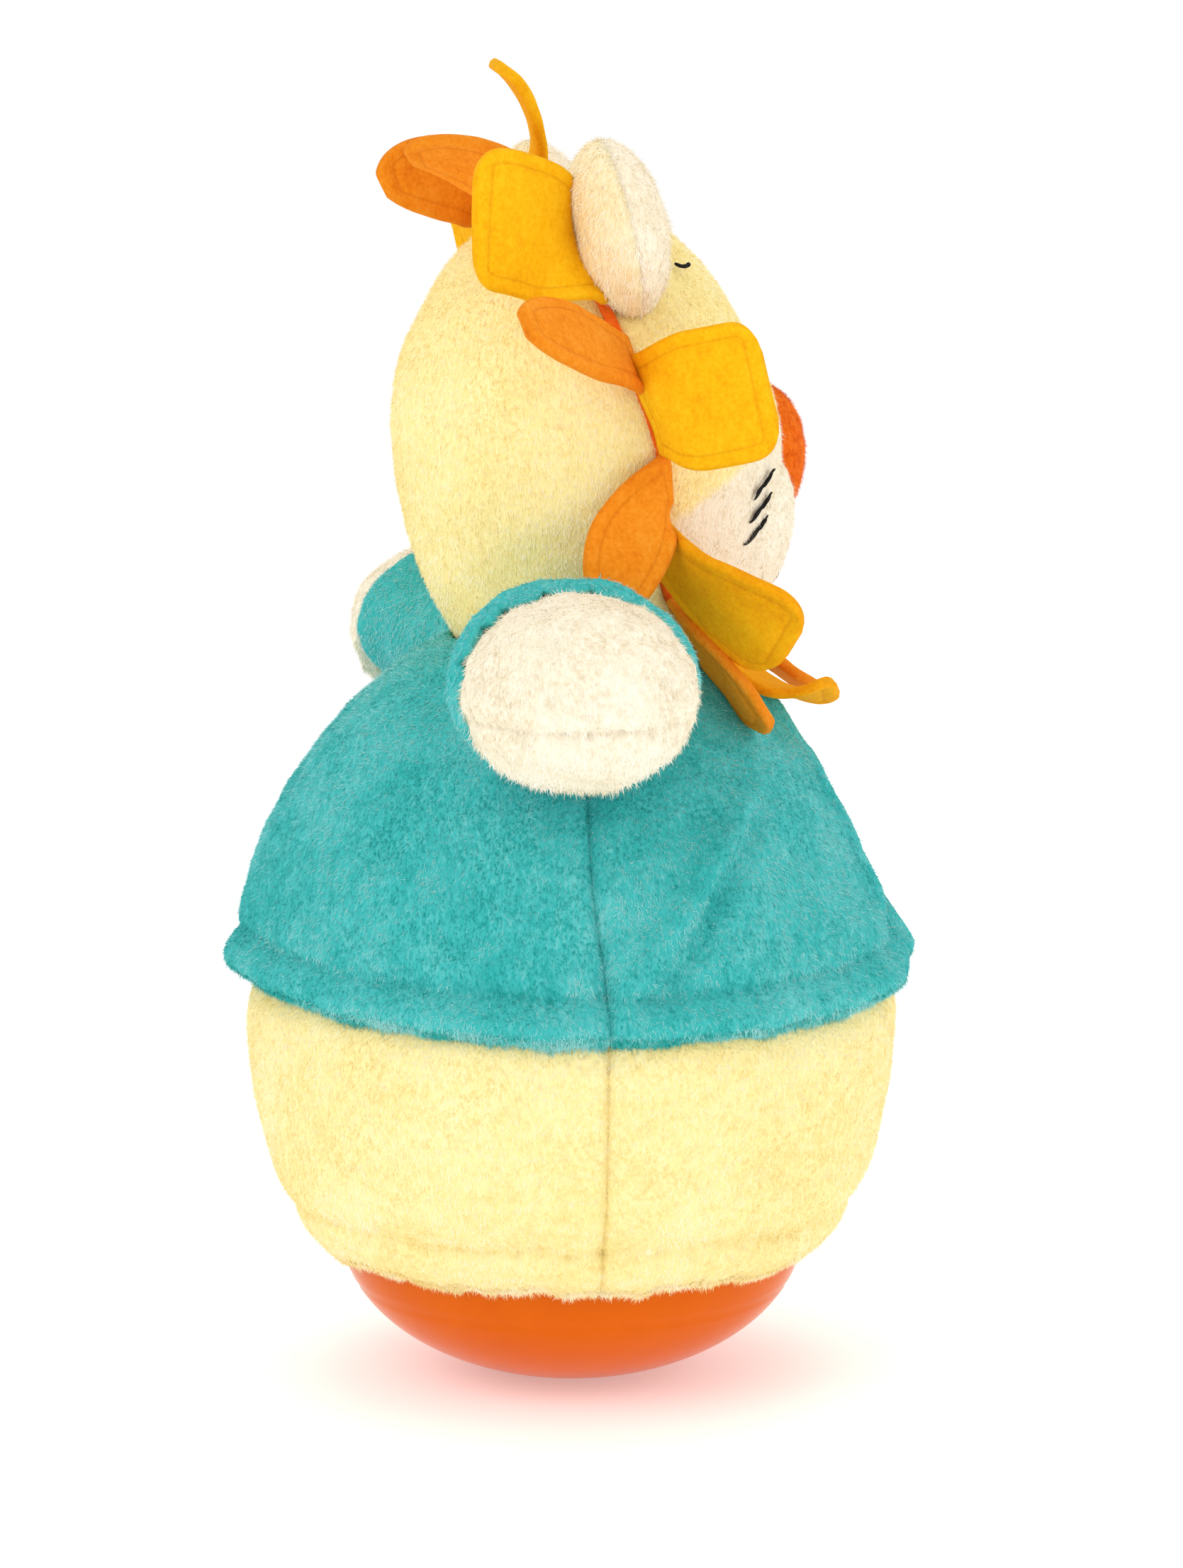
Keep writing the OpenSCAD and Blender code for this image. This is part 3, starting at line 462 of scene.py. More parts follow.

# pile: short blades that stand on a plush grid and lean along the nap, which runs down
# frontFrom to topShare place the painted light that pales the pile towards the front and on the shoulders
pileSet = dict(perSquare=6.0, long=1.15, wide=0.17, stand=0.42, nap=0.9, stray=0.45, comb=(0.0, 0.0, -1.0),
               sway=0.08, skew=0.3, sunk=0.15, shortest=0.55, longest=1.1, thin=0.7, broad=1.3,
               brushed=((16, 0.9, 1), (6, 0.7, 2.6), (2.4, 0.6, 2.6)), mixing=0.5, steps=(-0.45, 0.5),
               frontFrom=-4, frontOver=30, topFrom=96, topOver=14, topShare=1.2, paler=0.35)
pileColours = dict(
    yellow=((247, 227, 158), (253, 237, 183), (255, 246, 212)),
    teal=((36, 168, 163), (78, 191, 189), (150, 214, 212)),
    cream=((241, 229, 203), (248, 239, 218), (253, 248, 236)),
    pale=((246, 230, 186), (252, 240, 208), (254, 248, 228)),
    orange=((214, 88, 8), (238, 112, 18), (247, 144, 56)))


def pileFinish(name, colour):  # one plain tone with a paler sheen
    made = plainFinish(name, lin(*colour)[:3], 0.95)
    sheen = lin(*(c + (255 - c) * pileSet["paler"] for c in colour))
    dial(made.node_tree.nodes["Principled BSDF"], {"Specular IOR Level": 0.1, "Sheen Weight": 0.4,
                                                   "Sheen Roughness": 0.4, "Sheen Tint": sheen})
    return made


pileTones = {cloth: [pileFinish("%sPile%d" % (cloth, k), colour) for k, colour in enumerate(three)]
             for cloth, three in pileColours.items()}


def brushedPatchesAndPaintedLight(at, seed, light):
    # patches of paler pile in three sizes, and painted light that pales the pile towards the front and on the
    # shoulders
    brushed = 0
    for k, (size, high, flatten) in enumerate(pileSet["brushed"]):
        brushed = brushed + lumps(at * np.array([1, 1, flatten]), size, seed + k) * high
    front = smooth((-at[:, 1] + pileSet["frontFrom"]) / pileSet["frontOver"])
    top = smooth((at[:, 2] - pileSet["topFrom"]) / pileSet["topOver"])
    return brushed + light * (front + pileSet["topShare"] * top)


def bladeMesh(name, points, shade, tones):  # loose triangles, three points each
    count = len(points) // 3
    mesh = bpy.data.meshes.new(name)
    mesh.vertices.add(len(points))
    mesh.vertices.foreach_set("co", (points * mm).astype(np.float32).ravel())
    mesh.loops.add(len(points))
    mesh.loops.foreach_set("vertex_index", np.arange(len(points), dtype=np.int32))
    mesh.polygons.add(count)
    mesh.polygons.foreach_set("loop_start", np.arange(0, len(points), 3, dtype=np.int32))
    mesh.polygons.foreach_set("use_smooth", np.ones(count, bool))
    mesh.polygons.foreach_set("material_index", shade.astype(np.int32))
    for tone in tones:
        mesh.materials.append(tone)
    mesh.update(calc_edges=True)
    return mesh


def noPaint(at):  # no blade takes the second three tones
    return 0


def pile(name, grid, tones, body, seed, wrap=False, dense=1.0, long=1.0, painted=noPaint, light=0.0):
    # blades are dropped on the grid's cells in proportion to area;
    # each is one triangle from a base across the nap to a tip along it
    draw = np.random.default_rng(seed)
    if wrap:
        grid = np.concatenate([grid, grid[:, :1]], 1)
    n = normalsOf(grid)
    if ((grid - grid.mean((0, 1))) * n).sum() < 0:
        n = -n
    a, b, c, d = grid[:-1, :-1], grid[:-1, 1:], grid[1:, 1:], grid[1:, :-1]
    area = np.linalg.norm(np.cross(c - a, d - b), axis=-1) / 2
    count = int(area.sum() * pileSet["perSquare"] * dense)
    cell = draw.choice(area.size, count, p=(area / area.sum()).ravel())
    r, k = np.unravel_index(cell, area.shape)
    u, v = draw.random((2, count, 1))
    low = grid[r, k] * (1 - u) + grid[r, k + 1] * u
    high = grid[r + 1, k] * (1 - u) + grid[r + 1, k + 1] * u
    at = low * (1 - v) + high * v
    up = unit(n[r, k] + draw.normal(size=(count, 3)) * pileSet["sway"])
    nap = np.array(pileSet["comb"]) + draw.normal(size=(count, 3)) * pileSet["stray"]
    nap = nap - up * (nap * up).sum(-1, keepdims=True)
    size = pileSet["long"] * long * draw.uniform(pileSet["shortest"], pileSet["longest"], (count, 1))
    tip = at + size * (up * pileSet["stand"] + unit(nap) * pileSet["nap"])
    across = unit(np.cross(nap + draw.normal(size=(count, 3)) * pileSet["skew"], up))
    side = across * pileSet["wide"] / 2 * draw.uniform(pileSet["thin"], pileSet["broad"], (count, 1))
    base = at - up * pileSet["sunk"]
    # blades take paler tones in random brushed patches and in painted light at the front and the shoulders
    tone = brushedPatchesAndPaintedLight(at, seed, light) + draw.normal(size=count) * pileSet["mixing"]
    shade = np.digitize(tone, pileSet["steps"]) + 3 * painted(at)
    points = np.stack([base - side, base + side, tip], 1).reshape(-1, 3)
    return marked(placed(name, bladeMesh(name, points, shade, tones)), body)


# bowl: the collar's points are radius and height
bowl = dict(cols=160, outRows=46, inRows=26, inFrom=0.12, footFlat=2.5, wall=2.5,
            lineZ=15.4, lineDeep=0.28, lineWide=0.22,
            collar=[(37.7, 24.2), (36.0, 24.35), (35.5, 24.6), (35.5, 28.9), (33.4, 29.2), (33.0, 28.9),
                    (33.0, 22.0)])


def bowlShape():  # a half section turned round: flat foot, ellipse, shoulder, collar, then back inside
    a = np.linspace(math.asin(toy["footR"] / toy["bowlR"]), math.pi / 2, bowl["outRows"])
    outR = toy["bowlR"] * np.sin(a)
    outZ = toy["rimZ"] - toy["bowlDepth"] * np.cos(a)
    outR = outR - bowl["lineDeep"] * hump(outZ, bowl["lineZ"], bowl["lineWide"])
    inner = np.linspace(math.pi / 2 - bowl["inFrom"], 0.0, bowl["inRows"])
    inR = (toy["bowlR"] - bowl["wall"]) * np.sin(inner)
    inZ = toy["rimZ"] - (toy["bowlDepth"] - bowl["wall"]) * np.cos(inner)
    collarR, collarZ = np.array(bowl["collar"]).T
    r = np.concatenate([[0, bowl["footFlat"]], outR, collarR, inR])[:, None]
    z = np.concatenate([[0, 0], outZ, collarZ, inZ])[:, None]
    turn = ringOf(bowl["cols"])
    return ball(np.stack([r * np.cos(turn), r * np.sin(turn), z + 0 * turn], -1))


# body: an egg, with the cover below and the waistcoat above; it sits back a little below the neck
sit = dict(back=2.2, fromZ=66, over=25, toZ=126, fade=22)


def coverR(z):  # the egg's radius: half width times the root of one less the squared share of its rise
    below, above = (toy["waistZ"] - z) / toy["bodyLow"], (z - toy["waistZ"]) / toy["bodyRise"]
    fall = np.where(z < toy["waistZ"], below, above)
    return toy["bodyR"] * np.sqrt(np.maximum(0, 1 - fall ** 2))


def sitBack(z):  # how far the body sits back at a height: a smooth rise times a smooth fall
    return sit["back"] * smooth((z - sit["fromZ"]) / sit["over"]) * smooth((sit["toZ"] - z) / sit["fade"])


def angleFrom(turn, at):  # signed angle from a direction, in degrees, -180 to 180
    return (np.degrees(turn) - at + 180) % 360 - 180


def arcFrom(turn, at, r):  # the same as a length along the circle of radius r
    return angleFrom(turn, at) * r * math.pi / 180


def panelTurns(fromTurn, toTurn, perTurn):  # even angles across a panel, from and to in degrees
    return np.radians(np.linspace(fromTurn, toTurn, int(perTurn * (toTurn - fromTurn) / 360)))[None, :]


cover = dict(rows=96, perTurn=260, rowsPower=1.25, hemZ=21.6, topZ=118.5, thick=1.8, clear=1.9,
             edge=((0.35, 23, 0.7), (0.3, 41, 0), (0.4, 9, 2)), edgeShare=0.8,
             casing=((0.9, 4.2, 2.6), (-0.9, 8.5, 1.0), (0.7, 14, 4.0)), cut=1.6,
             under=1.7, underFrom=61, underOver=7, pucker=0.35, puckers=(64, 1.3, 7), puckerAt=8.5,
             puckerWide=4.0, seamDeep=1.1, seamWide=1.1, beside=0.35, besideAt=3.2,
             besideWide=2.0, gather=0.6, gatherEvery=1.1, puffs=((34, 0.5), (11, 0.16), (2.6, 0.05)))


def coverGrid(turn):
    # height runs from the cut edge up; the casing puffs out under its stitch line,
    # the side seams are drawn in with puckers, and the part under the waistcoat steps in
    up = np.linspace(0, 1, cover["rows"])[:, None] ** cover["rowsPower"]
    low = cover["hemZ"] + ripples(turn, cover["edge"]) * cover["edgeShare"]
    z = low + (cover["topZ"] - low) * up
    h = z - low
    sunk = np.maximum(toy["rimZ"] - z, 0) / toy["bowlDepth"]
    bowlSide = toy["bowlR"] * np.sqrt(np.maximum(0, 1 - sunk ** 2))
    r = np.where(z < toy["waistZ"], np.maximum(coverR(z), bowlSide + cover["clear"]), coverR(z))
    r = ridged(r, h, cover["casing"])
    r = r - cover["cut"] * smooth(1 - h / cover["cut"])
    r = r - cover["under"] * smooth((z - cover["underFrom"]) / cover["underOver"])
    pucker = puckered(turn, *cover["puckers"]) * hump(h, cover["puckerAt"], cover["puckerWide"])
    r = r + cover["pucker"] * pucker
    for at in sideSeams:
        d = np.abs(arcFrom(turn, at, r))
        gathers = 1 + cover["gather"] * np.sin(z * cover["gatherEvery"])
        r = r - cover["seamDeep"] * np.exp(-d / cover["seamWide"])
        r = r + cover["beside"] * hump(d, cover["besideAt"], cover["besideWide"]) * gathers
    points = np.stack([r * np.cos(turn), r * np.sin(turn) + sitBack(z), z + 0 * turn], -1)
    out = np.stack([np.cos(turn) + 0 * z, np.sin(turn) + 0 * z, 0 * points[..., 0]], -1)
    return points + out * puffs(points, 3, cover["puffs"])[..., None], out


def coverPanel(fromTurn, toTurn):
    outer, out = coverGrid(panelTurns(fromTurn, toTurn, cover["perTurn"]))
    return slab(outer, outer - out * cover["thick"], False), outer


# waistcoat: the fold runs up and forward from each side seam
vest = dict(rows=110, perTurn=330, rowsPower=1.2, grow=1.2, riseGrow=1.6, hemRise=10.0, hemDip=3.8, thick=1.6,
            open=20.0, corner=9.0, cornerR=52, hemWaves=((0.2, 19, 1), (0.15, 37, 0)),
            hem=((2.4, 3.4, 3.0), (-0.75, 7.6, 0.9), (0.5, 11.5, 3.0)), cut=2.2, cutOver=2.0,
            pucker=0.25, puckers=(70, 2, 11), puckerAt=7.6, puckerWide=3.0,
            seamDeep=1.3, seamWide=1.2, beside=0.35, besideAt=3.5, besideWide=2.2, seamTo=118, seamFade=10,
            border=((0.9, 2.0, 1.6), (-0.7, 4.2, 0.8)), borderCut=1.2, flatten=0.6, lift=0.8,
            puffs=((30, 0.45), (9, 0.16), (2.4, 0.05)), topFrom=105, topTo=125.5, topSteps=220, neckR=26.9)
fold = dict(start=4.0, slope=0.85, startZ=72, high=2.0, wide=3.2, deep=1.7, deepAt=5.5, deepWide=3.0,
            fromZ=66, over=10, toZ=104, fade=14)


def vestR(z):  # the egg of the body, grown
    fall = (z - toy["waistZ"]) / (toy["bodyRise"] + vest["riseGrow"])
    return (toy["bodyR"] + vest["grow"]) * np.sqrt(np.maximum(0, 1 - np.maximum(fall, 0) ** 2))


def vestTop(turn):  # height at which the egg's line meets the ball that the head rests in
    z = np.linspace(vest["topFrom"], vest["topTo"], vest["topSteps"])[:, None]
    r = vestR(z)
    apart = (r * np.cos(turn)) ** 2 + (r * np.sin(turn) - neckAt[1]) ** 2 + (z - neckAt[2]) ** 2
    return z[np.argmax(apart - vest["neckR"] ** 2 < 0, 0), 0][None, :]


def foldAt(d, z):  # a ridge with a hollow beside it along a slanting line, fading at both ends
    line = d - (fold["start"] + fold["slope"] * (z - fold["startZ"]))
    relief = fold["high"] * hump(line, 0.0, fold["wide"])
    relief = relief - fold["deep"] * hump(line, fold["deepAt"], fold["deepWide"])
    return relief * smooth((z - fold["fromZ"]) / fold["over"]) * smooth((fold["toZ"] - z) / fold["fade"])


def vestGrid(turn, edge):
    # height from the hem to the neck; the hem rolls out in a lip under its stitch line, seams are drawn in,
    # and the front edge, where there is one, has a round corner and a stitched border
    up = np.linspace(0, 1, vest["rows"])[:, None] ** vest["rowsPower"]
    low = toy["waistZ"] + vest["hemRise"] - vest["hemDip"] * np.abs(np.cos(turn))
    low = ripples(turn, vest["hemWaves"], low)
    if edge is not None:
        away = np.clip(np.abs(arcFrom(turn, edge, vest["cornerR"])) / vest["corner"], 0, 1)
        low = low + vest["corner"] * (1 - np.sqrt(np.clip(1 - (1 - away) ** 2, 0, 1)))
    z = low + (vestTop(turn) - low) * up
    h = z - low
    r = ridged(vestR(z), h, vest["hem"])
    r = r - vest["cut"] * smooth(1 - h / vest["cutOver"])
    r = r + vest["pucker"] * puckered(turn, *vest["puckers"]) * hump(h, vest["puckerAt"], vest["puckerWide"])
    for at in sideSeams:
        along = arcFrom(turn, at, r)
        d = np.abs(along)
        fade = smooth((vest["seamTo"] - z) / vest["seamFade"])
        r = r - vest["seamDeep"] * np.exp(-d / vest["seamWide"]) * fade
        r = r + vest["beside"] * hump(d, vest["besideAt"], vest["besideWide"]) * fade
        r = r + foldAt(along if at > 90 else -along, z)
    if edge is not None:
        d = np.abs(arcFrom(turn, edge, r))
        r = ridged(r, d, vest["border"]) - vest["borderCut"] * smooth(1 - d / vest["borderCut"])
    points = np.stack([r * np.cos(turn), r * np.sin(turn) + sitBack(z), z + 0 * turn], -1)
    fall = smooth(np.clip((z - toy["waistZ"]) / toy["bodyRise"], 0, 1))
    level = 1 - vest["flatten"] * fall
    out = unit(np.stack([np.cos(turn) * level, np.sin(turn) * level, vest["lift"] * fall + 0 * turn], -1))
    return points + out * puffs(points, 11, vest["puffs"])[..., None], out


def vestPanel(fromTurn, toTurn, edge):
    outer, out = vestGrid(panelTurns(fromTurn, toTurn, vest["perTurn"]), edge)
    return slab(outer, outer - out * vest["thick"], False), outer


dish = dict(reach=50, rows=30, cols=120, topR=27.3, underR=28.8)


def dishShape():  # the hollow that the head rests in: part of a ball about the neck, with a skin under it
    a = np.linspace(0, math.radians(dish["reach"]), dish["rows"])[:, None]
    t = ringOf(dish["cols"])[None, :]
    way = np.stack([np.sin(a) * np.cos(t), np.sin(a) * np.sin(t), -np.cos(a) + 0 * t], -1)
    return ball(np.concatenate([neckAt + way * dish["topR"], (neckAt + way * dish["underR"])[::-1]]))


# head: an egg in two panels that meet along the mane's seam
mane = dict(fore=3.15, tilt=19.4, chin=toy["headR"] * 0.27, cheek=toy["headR"] * 0.19, chinPower=6)


def headPoint(o, v):  # where a ray from o along v leaves the egg, both measured from the head's middle
    w = toy["headR"] ** 2
    h = np.where(v[..., 2] < 0, toy["headLow"] ** 2, toy["headTop"] ** 2)
    a = (v[..., 0] ** 2 + v[..., 1] ** 2) / w + v[..., 2] ** 2 / h
    b = 2 * ((o[..., 0] * v[..., 0] + o[..., 1] * v[..., 1]) / w + o[..., 2] * v[..., 2] / h)
    c = (o[..., 0] ** 2 + o[..., 1] ** 2) / w + o[..., 2] ** 2 / h - 1
    return o + v * ((np.sqrt(np.maximum(b * b - 4 * a * c, 0)) - b) / (2 * a))[..., None]


def headNormal(p):  # slope of the egg's equation: each place over its squared half axis
    h = np.where(p[..., 2] < 0, toy["headLow"], toy["headTop"])
    w = toy["headR"] ** 2
    return unit(np.stack([p[..., 0] / w, p[..., 1] / w, p[..., 2] / h ** 2], -1))


def seamPoint(turn):  # a leaning ring on the egg that drops back at the cheeks and comes forward at the chin
    tilt = math.radians(mane["tilt"])
    low = np.maximum(0, -np.cos(turn))
    drawn = np.where(low > 0, mane["cheek"] * np.sin(2 * turn) ** 2, 0)
    swing = mane["chin"] * low ** mane["chinPower"] - drawn
    o = np.stack([0 * turn, -mane["fore"] - swing * math.cos(tilt), swing * math.sin(tilt)], -1)
    v = np.stack([-np.sin(turn), np.cos(turn) * math.sin(tilt), np.cos(turn) * math.cos(tilt)], -1)
    return headPoint(o, v)


headSet = dict(rows=90, cols=220, rowsPower=1.15, thick=1.6, groove=0.6, grooveWide=1.2, slope=3.6,
               slopeWay=(0, -0.72, 0.7), slopeWide=0.22, pucker=0.18, puckers=(58, 2, 9), puckerAt=2.5,
               puckerWide=2.0, puffs=((30, 0.35), (9, 0.12), (2.3, 0.04)),
               backPole=(0, 0.96, -0.25), facePole=(0, -1, 0.05))
cheek = dict(at=(0.0, -15.0, 132.5), r=31.0, blur=0.6, uneven=0.5, unevenSize=3, tone=(247, 236, 213))


def onCheek(p):  # 1 inside the ball of the pale cheeks, with an uneven edge
    apart = np.linalg.norm(p - np.array(cheek["at"]), axis=-1)
    return (apart + lumps(p, cheek["unevenSize"], 24) * cheek["uneven"] < cheek["r"]).astype(int)


def faceFinish():  # the head's plush, cream within the cheeks' ball
    made = plushFinish("facePlush", *headTones)
    nodes, links = made.node_tree.nodes, made.node_tree.links
    shader = nodes["Principled BSDF"]
    place = nodes.new("ShaderNodeTexCoord")
    apart = nodes.new("ShaderNodeVectorMath")
    apart.operation = "DISTANCE"
    apart.inputs[1].default_value = [x * mm for x in cheek["at"]]
    links.new(place.outputs["Object"], apart.inputs[0])
    reach = [(cheek["r"] + blur) * mm for blur in (-cheek["blur"], cheek["blur"])]
    both = nodes.new("ShaderNodeMix")
    both.data_type = "RGBA"
    both.inputs["A"].default_value = lin(*cheek["tone"])
    links.new(spread(nodes, links, apart.outputs["Value"], *reach), both.inputs["Factor"])
    links.new(shader.inputs["Base Color"].links[0].from_socket, both.inputs["B"])
    links.new(both.outputs["Result"], shader.inputs["Base Color"])
    return made


def headPanel(pole):
    # from the seam to a pole of the egg: directions turn evenly between them and are cast on the egg;
    # the seam is drawn in with puckers, and the brow is flattened
    turn = ringOf(headSet["cols"])
    seam = seamPoint(turn)
    share = np.linspace(0, 1, headSet["rows"])[:, None] ** headSet["rowsPower"]
    a, b = unit(seam)[None], unit(np.array(pole))
    angle = np.arccos(np.clip((a * b).sum(-1), -1, 1))
    way = np.sin((1 - share) * angle)[..., None] * a + np.sin(share * angle)[..., None] * b
    way = way / np.sin(angle)[..., None]
    p = headPoint(np.zeros_like(way), unit(way))
    n = headNormal(p)
    far = np.linalg.norm(p - seam[None], axis=-1)
    pucker = puckered(turn, *headSet["puckers"]) * hump(far, headSet["puckerAt"], headSet["puckerWide"])
    pucker = pucker * headSet["pucker"]
    soft = puffs(p, 21, headSet["puffs"])
    brow = (way * unit(np.array(headSet["slopeWay"]))).sum(-1)
    slope = headSet["slope"] * hump(brow, 1, headSet["slopeWide"])
    groove = headSet["groove"] * np.exp(-far / headSet["grooveWide"])
    p = p + n * (soft + pucker - groove - slope)[..., None]
    outer, inner = p + headAt, p - n * headSet["thick"] + headAt
    rows, cols = p.shape[:2]
    skins = [[skin[:-1].reshape(-1, 3), skin[-1].mean(0)[None]] for skin in (outer, inner)]
    points = np.concatenate(skins[0] + skins[1])
    n1 = (rows - 1) * cols + 1
    first = np.arange(cols)
    last = first + (rows - 2) * cols
    faces = cells(rows - 1, cols, True).tolist()
    faces += np.stack([last, np.roll(last, -1), np.full(cols, n1 - 1)], -1).tolist()
    faces += [[n1 + i for i in f[::-1]] for f in faces]
    faces += strip(first + n1, first, True).tolist()
    return (points, faces), outer


# muzzle and nose pads: reach is the cap's half angle in degrees
muzzleSet = dict(at=(0.0, -14.3, 141.5), r=22.0, scale=(1, 1, 1), reach=75, rows=60, cols=120, seed=50)
noseSet = dict(at=(0.0, -30.4, 149.8), r=10.5, scale=(1, 0.78, 1.15), reach=96, rows=40, cols=80, seed=54)
padPuffs = ((14, 0.2), (5, 0.1), (2.2, 0.04))


def padShape(spec):  # a cap of a ball that faces -Y, with soft lumps, closed flat behind
    a = np.linspace(0, math.radians(spec["reach"]), spec["rows"])[:, None]
    t = ringOf(spec["cols"])[None, :]
    way = np.stack([np.sin(a) * np.cos(t), -np.cos(a) + 0 * t, np.sin(a) * np.sin(t)], -1)
    p = np.array(spec["at"]) + spec["r"] * way * np.array(spec["scale"])
    p = p + way * puffs(p, spec["seed"], padPuffs)[..., None]
    back = p[-1].mean(0)
    closed = [p, p[-1:] * 0.5 + back * 0.5, np.repeat(back[None, None], spec["cols"], 1)]
    return ball(np.concatenate(closed)), p


# arms: side is -1 for the right and 1 for the left, which is the thinner one
arm = dict(length=36.0, sleeve=21.96, shoulderR=9.5, cuffR=16.6, pawR=16.4, farCuffR=13.2, farPawR=15.2,
           sweep=12.0, farTurn=-2.0, pitch=7.0, cuffUp=1.5, cuffBack=0.9, outAt=29.54, upAt=115.09,
           wide=1.1, tall=0.91, rows=60, cols=120, growFrom=0.1, growOver=0.75, bendOver=9)
cuff = dict(root=8.5, past=1.4, ragged=((0.5, 17), (0.4, 29)), raggedStart=2, raggedFrom=3, raggedOver=4,
            lip=0.9, lipAt=1.2, lipWide=1.8, turnIn=0.8, thick=1.5, bareRows=10,
            puffs=((13, 0.3), (4, 0.14), (2, 0.05)))
paw = dict(within=0.5, blunt=0.82, clear=2.2, clearTo=0.3, seamY=-6.4, seamSag=0.006, seamFrom=4,
           seamDeep=1.2, seamWide=0.8, beside=0.3, besideAt=3, besideWide=1.5, pucker=0.3,
           puckers=(2.1, 2, 0.7), puckerWide=2.2, puffs=((12, 0.3), (4.5, 0.14), (2, 0.06)))


def armFrame(side):  # shoulder, run, level across, and up
    turn, pitch = math.radians(arm["sweep"]), math.radians(arm["pitch"])
    level = np.array([side * math.cos(turn), math.sin(turn), 0])
    at = level * arm["outAt"] + np.array([0, 0, arm["upAt"]])
    if side > 0:
        turn += math.radians(arm["farTurn"])
    run = np.array([side * math.cos(turn), math.sin(turn), math.tan(pitch)]) * math.cos(pitch)
    across = unit(np.cross([0, 0, 1.0], run))
    return at, run, across, np.cross(run, across)


def armR(t, side):  # from the shoulder's radius to the cuff's, smoothly along the sleeve
    grow = smooth((t / arm["sleeve"] - arm["growFrom"]) / arm["growOver"])
    return arm["shoulderR"] + (arm["farCuffR" if side > 0 else "cuffR"] - arm["shoulderR"]) * grow


def sleeveShape(side):  # a flaring sleeve: its root is round, its ragged cuff turns a little in over the paw
    at, run, across, up = armFrame(side)
    turn = ringOf(arm["cols"])[None, :]
    starts = (side, cuff["raggedStart"])
    ragged = ripples(turn, [(*wave, start) for wave, start in zip(cuff["ragged"], starts)])
    t = np.linspace(-cuff["root"], arm["sleeve"] + cuff["past"], arm["rows"])[:, None] + 0 * turn
    t = t + ragged * smooth((t - arm["sleeve"] + cuff["raggedFrom"]) / cuff["raggedOver"])
    root = np.sqrt(np.maximum(arm["shoulderR"] ** 2 - np.minimum(t, 0) ** 2, 1.0))
    r = np.where(t < 0, root, armR(t, side))
    r = r + cuff["lip"] * hump(t, arm["sleeve"] - cuff["lipAt"], cuff["lipWide"])
    r = r - cuff["turnIn"] * smooth((t - arm["sleeve"]) / cuff["past"])
    grow = smooth(t / arm["sleeve"])
    wide, tall = 1 + (arm["wide"] - 1) * grow, 1 + (arm["tall"] - 1) * grow
    flat = across * np.cos(turn)[..., None] * wide[..., None]
    flat = flat + up * np.sin(turn)[..., None] * tall[..., None]
    at = at + grow[..., None] * (up * arm["cuffUp"] + np.array([0, arm["cuffBack"], 0]))
    outer = at + run * t[..., None] + flat * r[..., None]
    outer = outer + unit(flat) * puffs(outer, 31, cuff["puffs"])[..., None]
    inner = at + run * t[..., None] + flat * (r - cuff["thick"])[..., None]
    return slab(outer, inner, True), outer


def pawShape(side):  # a puffed end: half an egg with a puckered seam across its lower third
    at, run, across, up = armFrame(side)
    turn = ringOf(arm["cols"])[None, :]
    a = np.linspace(-paw["within"], math.pi / 2, arm["rows"])[:, None]
    t = arm["sleeve"] + (arm["length"] - arm["sleeve"]) * np.sin(a) + 0 * turn
    r = arm["farPawR" if side > 0 else "pawR"] * np.cos(a) ** paw["blunt"] + 0 * turn
    r = np.where(t < arm["sleeve"] + paw["clearTo"], np.minimum(r, armR(t, side) - paw["clear"]), r)
    x, y = r * np.cos(turn) * arm["wide"], r * np.sin(turn) * arm["tall"]
    p = at + run * t[..., None] + across * x[..., None] + up * y[..., None]
    aside = across * np.cos(turn)[..., None] + up * np.sin(turn)[..., None]
    n = unit(run * np.sin(a)[..., None] + aside * np.cos(a)[..., None])
    front = smooth((t - arm["sleeve"]) / paw["seamFrom"])
    d = y - (paw["seamY"] + paw["seamSag"] * x ** 2)
    pucker = paw["pucker"] * puckered(x, *paw["puckers"]) * hump(d, 0, paw["puckerWide"])
    seam = pucker - paw["seamDeep"] * np.exp(-np.abs(d) / paw["seamWide"])
    seam = seam + paw["beside"] * hump(np.abs(d), paw["besideAt"], paw["besideWide"])
    p = p + n * (puffs(p, 35, paw["puffs"]) + front * seam)[..., None]
    base = p[:1].mean(1, keepdims=True) + 0 * p[:1]
    return ball(np.concatenate([base, p])), p


# ears
ear = dict(r=14.0, front=7.4, back=7.2, lean=14.0, backLean=13.0, at=(24.57, -1.4, 186.56), rows=40, cols=110,
           puckers=(34, 2, 5), puckerFrom=0.62, puckerOver=0.3, pucker=0.28, uneven=0.012, unevenCount=21,
           full=2.4, steep=0.62, lump=0.3, lumpSize=9)


def earPanel(side, face, bulge):  # half of a puffed disc: its depth falls off towards a puckered rim
    rho = np.linspace(0, 1, ear["rows"])[:, None]
    t = ringOf(ear["cols"])[None, :]
    pucker = puckered(t, *ear["puckers"]) * smooth((rho - ear["puckerFrom"]) / ear["puckerOver"])
    r = ear["r"] * rho * (1 + ear["uneven"] * np.sin(t * ear["unevenCount"] + 1) * rho)
    deep = bulge * np.maximum(1 - rho ** ear["full"], 0) ** ear["steep"]
    deep = deep + ear["pucker"] * pucker * (1 - rho)
    p = np.stack([r * np.cos(t), face * deep, r * np.sin(t)], -1)
    p[..., 1] += ear["lump"] * lumps(p, ear["lumpSize"], 41 + face) * (1 - rho)
    tip, lean = turnX(math.radians(-ear["backLean"])), turnY(math.radians(ear["lean"]) * side)
    flat = p[-1:] * 0.5
    p = np.concatenate([p, flat, flat * 0]) @ tip.T @ lean.T + np.array(ear["at"]) * [side, 1, 1]
    return ball(p), p[:-2]


